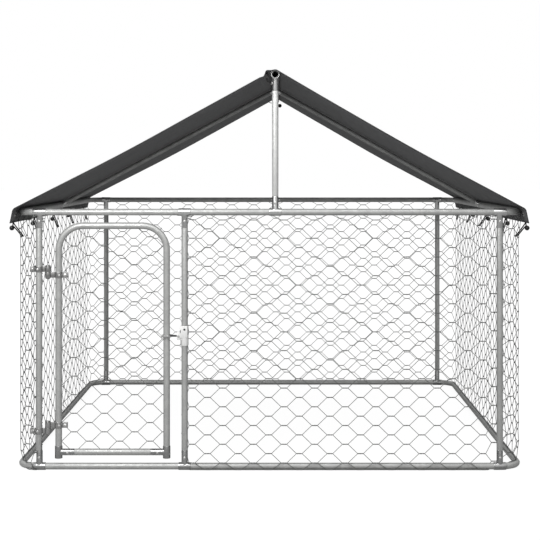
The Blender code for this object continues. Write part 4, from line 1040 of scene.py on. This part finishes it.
# The cloth's inner line from the left flap's edge over the ridge to the right flap's edge: straight slopes,
# an arc over each side rail and a straight flap, with the sag's share at each point, a sine along each slope
def roofSection():
    parts = []
    fold, lean = roof["foldRadius"], roof["lean"]
    rail = np.array([pen["sideX"], pen["highZ"]])
    for sign in (-1, 1):
        normal = math.pi / 2 - math.atan2(pen["ridgeZ"] - pen["highZ"], pen["sideX"] - sign * pen["ridgeX"])
        turn, peakTurn = np.linspace(lean, normal, 12), np.linspace(normal, math.pi / 2, 8)
        arc = rail + fold * circle(turn)
        edge = arc[0] + roof["flap"] * np.array([math.sin(lean), -math.cos(lean)])
        bow = circle(peakTurn)
        crown = (sign * pen["ridgeX"], pen["ridgeZ"]) + roof["ridgeRadius"] * bow
        share = np.linspace(0, 1, 40)[1:-1]
        line = np.concatenate([edge[None], arc, arc[-1] + (crown[0] - arc[-1]) * share[:, None], crown])
        parts.append((line * (sign, 1), np.concatenate([np.zeros(13), np.sin(np.pi * share), np.zeros(8)])))
    line, sag = (np.concatenate([parts[0][k], parts[1][k][::-1][1:]]) for k in (0, 1))
    reach = reachOf(line)
    peak = reach[len(parts[0][0]) - 1]
    even = np.union1d(np.linspace(0, reach[-1], roof["across"]), reach)
    left, right, steps = roof["crown"]
    even = np.union1d(even, np.linspace(peak + left, peak + right, steps))
    return readOff(even, reach, line), np.interp(even, reach, sag), even


# How far the cloth stands out from its line. Small waves, sines along each flap and slope, run from the
# ties, a hem stands up round its edges, and left of the ridge the front edge is bunched up, a bell curve
# exp(-t^2) beside a hollow
def clothWaves(y, section, sag, reach):
    half, hem = roof["halfLength"], roof["hemWide"]
    edge = np.minimum(reach, reach[-1] - reach)[None, :]
    wave = sum(high * np.sin(y * along + reach[None, :] * across + start) * sag[None, :]
               for high, along, across, start in roof["waves"])
    wave += roof["hemStep"] * np.clip((hem - np.minimum(half - np.abs(y), edge)) / 0.0012 + 0.5, 0, 1)
    x = section[None, :, 0]
    (high, middle, wide), (low, hollow, hollowWide) = roof["bunch"], roof["hollow"]
    wide = np.where(x > middle, roof["bunchRight"], wide)
    wave += np.exp(-((y + half) / roof["bunchDeep"]) ** 2) * (high * np.exp(-((x - middle) / wide) ** 2)
                                                              + low * np.exp(-((x - hollow) / hollowWide) ** 2))
    high, along, pullWide, up = roof["tieWaves"]
    for k, tie in enumerate(ties["along"]):
        pull = np.exp(-((y - tie) / pullWide) ** 2)
        wave += high * (1 - pull) * np.sin(y * along + k) * np.exp(-edge / up) / len(ties["along"])
    return wave


# The roof cloth: its section carried along Y, sinking between the rafters and the ends by the sag
def roofCover():
    section, sag, reach = roofSection()
    half, hem, roll = roof["halfLength"], roof["hemWide"], roof["roll"]
    near = np.concatenate([np.linspace(0, *roof["nearEnd"]), [hem - 0.0006, hem + 0.0006]])
    y = np.unique(np.round(np.concatenate([np.linspace(-half, half, roof["along"]), -half + near, half - near]), 6))
    slack = roof["sag"] * np.minimum(1, np.abs(y) / half * roof["slackRise"])
    step = unit(np.gradient(section, axis=0))
    normal = np.stack([-step[:, 1], step[:, 0]], -1)
    wave = clothWaves(y[:, None], section, sag, reach)
    x = section[None, :, 0] + normal[None, :, 0] * wave
    z = section[None, :, 1] - slack[:, None] * sag[None, :] + normal[None, :, 1] * wave
    points = np.stack([x, np.broadcast_to(y[:, None], x.shape), z], -1)
    faces = gridFaces(len(y), len(section), closed=False)
    cover = pieceOf("roof_cloth", (points, faces[:, ::-1]), "cloth")
    uv = cover.data.uv_layers.new(name="clothUV")
    corners = np.empty(len(cover.data.loops), np.int32)
    cover.data.loops.foreach_get("vertex_index", corners)
    flat = np.stack(np.broadcast_arrays(reach[None, :], y[:, None]), -1).reshape(-1, 2)
    uv.data.foreach_set("uv", flat[corners].astype(np.float32).ravel())
    thick = cover.modifiers.new("thickness", "SOLIDIFY")
    thick.thickness = roof["thickness"]
    thick.offset = 1.0
    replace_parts(cover, "roof_cover")
    for name, row in (("front", 0), ("back", -1)):
        line = points[row] - np.array([0, math.copysign(roll * roof["rollOut"], y[row]), 0])
        line[:, [0, 2]] -= normal * roll * roof["rollIn"]
        closedPiece(f"roof_roll_{name}", tubesAlong(line[None], roll, 12, (0.0, 1.0, 0.0)), "hem")
    for name, column in (("left", 0), ("right", -1)):
        line = points[:, column] - np.array([normal[column, 0], 0, normal[column, 1]]) * roll * roof["flapRollIn"]
        line[:, 2] += roll * roof["rollOut"]
        closedPiece(f"roof_roll_{name}", tubesAlong(line[None], roll, 12, (1.0, 0.0, 0.0)), "hem")
    print("roof", round(float(reach[-1]), 3), "m of cloth over the ridge")


# A smooth curve through the points: a Catmull-Rom spline, evenly stepped between each two
def smoothLine(points, count=9):
    p = np.asarray(points, float)
    p = np.concatenate([[2 * p[0] - p[1]], p, [2 * p[-1] - p[-2]]])
    t = np.linspace(0, 1, count, endpoint=False)[:, None, None]
    a, b, c, d = p[:-3], p[1:-2], p[2:-1], p[3:]
    line = 0.5 * (2 * b + (c - a) * t + (2 * a - 5 * b + 4 * c - d) * t ** 2 + (3 * b - a - 3 * c + d) * t ** 3)
    return np.concatenate([line.transpose(1, 0, 2).reshape(-1, 3), p[None, -2]])


# A moulded ball with a bore for the cord: a turned half circle with a rounded rim at each end
def ballAt(name, centre):
    turn = np.linspace(0.16, math.pi - 0.16, 19)
    s, r = -np.cos(turn) * ties["ball"], np.sin(turn) * ties["ball"]
    mouth, rim = r[0] * 0.72, np.array([0.0012, 0.0012, 0.0002])
    s = np.concatenate([s[0] + rim, s, s[-1] - rim[::-1]])
    r = np.concatenate([[0, mouth * 0.9, mouth], r, [mouth, mouth * 0.9, 0]])
    onto(sweep(straightPath(centre, (-0.62, 0.10, 0.78), (0, 1, 0)), s, r, 28, ring=False), "ball", name)


def elastic(name, corners, radius):
    closedPiece(name, tubesAlong(smoothLine(corners)[None], radius, 12, (0.3, 0.9, 0.1)), "elastic")


# A pressed eyelet through the cloth: an oval section turned round the hole's direction
def eyeletAt(name, centre, heading, size, thick=0.0019):
    t = np.linspace(0, math.tau, 19)[:-1]
    at = straightPath(centre, heading, (0, 1, 0))
    onto(sweep(at, thick * np.sin(t), size[0] - size[1] * np.cos(t), 34), "eyelet", name)


# Ten elastic loops with a ball: from the ball up outside the flap, in and out of its eyelet, down again,
# both strands side by side to a wire of the netting, round it, and back to the ball
def ballTies():
    rail = np.array([pen["sideX"], 0, pen["highZ"]])
    skin = np.array([math.cos(roof["lean"]), 0, math.sin(roof["lean"])])
    cord, aside = ties["cord"], np.array([0.95, 0.0, -0.31]) * ties["apart"]
    apart, outside = np.array([0, cord * 1.15, 0]), skin * (cord + 0.0022) + (0, 0, -0.0040)
    loop = np.linspace(math.pi / 2, -math.pi / 2, 7)[:, None]
    for sign, side in ((-1, "left"), (1, "right")):
        for k, y in enumerate(ties["along"]):
            sway = np.array([1, ties["sway"][side][k], 1])
            hole, hem, join, turn, ballFrom = (np.array(ties[key]) * sway for key in
                                               ("hole", "hem", "join", "turn", "ballFrom"))
            ball = join + ballFrom
            bend = turn + unit(turn - join) * np.cos(loop) * ties["apart"] * 1.1 - aside * np.sin(loop)
            path = [ball, join + (0.0040, -0.003, -0.0005), hem - apart, hole - apart + outside,
                    hole - apart * 0.9 - skin * 0.0010, hole - skin * (cord + 0.0006) + (0, 0, 0.0010),
                    hole + apart * 0.9 - skin * 0.0010, hole + apart + outside, hem + apart,
                    join - aside * 1.1 + (0, 0.002, 0.002), *bend, join + aside * 1.1 + (0, 0.002, -0.002), ball]
            flip, label = np.array([sign, 1, 1]), f"{side}_{k + 1}"
            elastic(f"tie_cord_{label}", (rail + np.array(path)) * flip + (0, y, 0), cord)
            ballAt(f"tie_ball_{label}", (rail + ball) * flip + (0, y, 0))
            eyeletAt(f"eyelet_{label}", (rail + hole) * flip + (0, y, 0), skin * flip, ties["eyelet"])
    print("ties ready")


# The cloth's two ends tied to the ridge: each cord's radius and path, from x 0, y front or back and z 0
ridgeCords = {
    "front_1": (0.0035, [(-0.0113, 0.004, 1.5623), (-0.0030, 0, 1.5500), (0.0060, -0.001, 1.5385), (0.0068, 0, 1.5300),
                         (0.0050, 0.004, 1.5215)]),
    "front_2": (0.0033, [(-0.0094, 0.010, 1.5380), (-0.0074, 0.003, 1.5306), (-0.0010, 0, 1.5258),
                         (0.0045, 0.002, 1.5225), (0.0085, 0.006, 1.5213)]),
    "back_1": (0.0016, [(-0.0250, 0, 1.5550), (-0.0218, 0, 1.5525), (-0.0100, 0.002, 1.5470), (0.0007, 0.003, 1.5443),
                        (0.0200, 0.004, 1.5400), (0.0445, 0, 1.5300)]),
}


def ridgeCord(name, y):
    radius, path = ridgeCords[name]
    elastic(f"ridge_cord_{name}", np.array(path) + (0, y, 0), radius)


def ridgeTies():
    front, back = pen["frontY"] - 0.018, -pen["frontY"] + 0.012
    ridgeCord("front_1", front)
    ridgeCord("front_2", front)
    eyeletAt("ridge_eyelet_front", (0.0088, front + 0.006, 1.5213), (0.25, -1, 0.1), (0.0034, 0.0019), 0.0012)
    ridgeCord("back_1", back)
    ballAt("ridge_ball_back", (0.0445, back, 1.5300))
    print("ridge ties ready")


roofCover()
ballTies()
ridgeTies()

# Studio
studio = {
    "backdrop": 1.0,  # how bright the backdrop is to the camera
    "base": 0.09, "front": 0.62, "frontPower": 2.0, "top": 0.90,  # and as a light
    "floorGlow": 0.93, "floorBase": 0.10, "floorBounce": 0.40,
}
lights = {
    "key": {"place": (-1.15, -2.75, 2.0), "target": (-0.5, -1.0, 0.6), "size": (1.2, 0.8), "power": 25},
    "strip": {"place": (0.1, -2.1, 2.35), "target": (0.1, -1.0, 1.0), "size": (2.6, 0.3), "power": 9},
}


# A shader that the camera sees, and another that lights the object and shows in its reflections
def seenOnlyByCamera(tree, seen, otherwise, outputNode):
    mix = addNode(tree, "MixShader", i0=addNode(tree, "LightPath").outputs["Is Camera Ray"],
                  i1=otherwise, i2=seen)
    tree.links.new(mix.outputs[0], tree.nodes[outputNode].inputs["Surface"])


# A pale floor: it glows for the camera so that only faint contact shadows stay on it
def makeFloor():
    mesh = bpy.data.meshes.new("floor")
    corners = [(x, y, -0.0005) for x, y in ((-30, -20), (30, -20), (30, 60), (-30, 60))]
    mesh.from_pydata(corners, [], [(0, 1, 2, 3)])
    floor = bpy.data.objects.new("floor", mesh)
    bpy.context.collection.objects.link(floor)
    made, tree, shader = newMaterial("studioFloor", Roughness=0.9)
    shader.inputs["Base Color"].default_value = paint([studio["floorBase"]] * 3)
    shader.inputs["Emission Color"].default_value = (1, 1, 1, 1)
    shader.inputs["Emission Strength"].default_value = studio["floorGlow"]
    bounce = addNode(tree, "BsdfDiffuse", Color=paint([studio["floorBounce"]] * 3))
    seenOnlyByCamera(tree, shader.outputs[0], bounce.outputs[0], "Material Output")
    mesh.materials.append(made)


# White to the camera; as a light it is brightest from the front and from above, where z and minus y of the
# direction are large: base + front max(-y, 0)^2 + top max(z, 0)
def makeBackdrop():
    world = bpy.data.worlds.new("studio")
    bpy.context.scene.world = world
    world.use_nodes = True
    tree = world.node_tree
    seen = tree.nodes["Background"]
    seen.inputs["Color"].default_value = (1, 1, 1, 1)
    seen.inputs["Strength"].default_value = studio["backdrop"]
    heading = addNode(tree, "SeparateXYZ", Vector=addNode(tree, "TexCoord").outputs["Generated"])
    front = calc(tree, "MULTIPLY", heading.outputs["Y"], -1.0, clamp=True)
    glow = calc(tree, "MULTIPLY_ADD", calc(tree, "POWER", front, studio["frontPower"]), studio["front"], studio["base"])
    glow = calc(tree, "MULTIPLY_ADD", calc(tree, "MAXIMUM", heading.outputs["Z"], 0.0), studio["top"], glow)
    ambient = addNode(tree, "Background", Color=(1, 1, 1, 1), Strength=glow)
    seenOnlyByCamera(tree, seen.outputs[0], ambient.outputs[0], "World Output")


makeFloor()
makeBackdrop()
for name, lamp in lights.items():
    data = bpy.data.lights.new(name, "AREA")
    data.shape = "RECTANGLE"
    data.size, data.size_y = lamp["size"]
    data.energy = lamp["power"]
    light = bpy.data.objects.new(name, data)
    bpy.context.collection.objects.link(light)
    light.location = lamp["place"]
    light.rotation_euler = (Vector(lamp["target"]) - Vector(lamp["place"])).to_track_quat("-Z", "Y").to_euler()
bpy.context.scene.view_settings.view_transform = "Standard"

# Camera
view = bpy.data.cameras.new("camera")
view.sensor_width = 36
view.lens = 85.3
view.shift_x = -0.0144
view.shift_y = -0.1885
camera = bpy.data.objects.new("camera", view)
bpy.context.collection.objects.link(camera)
camera.location = (0.033, -6.025, 1.187)
camera.rotation_euler = (math.radians(90), 0, 0)
bpy.context.scene.camera = camera

bpy.context.view_layer.update()
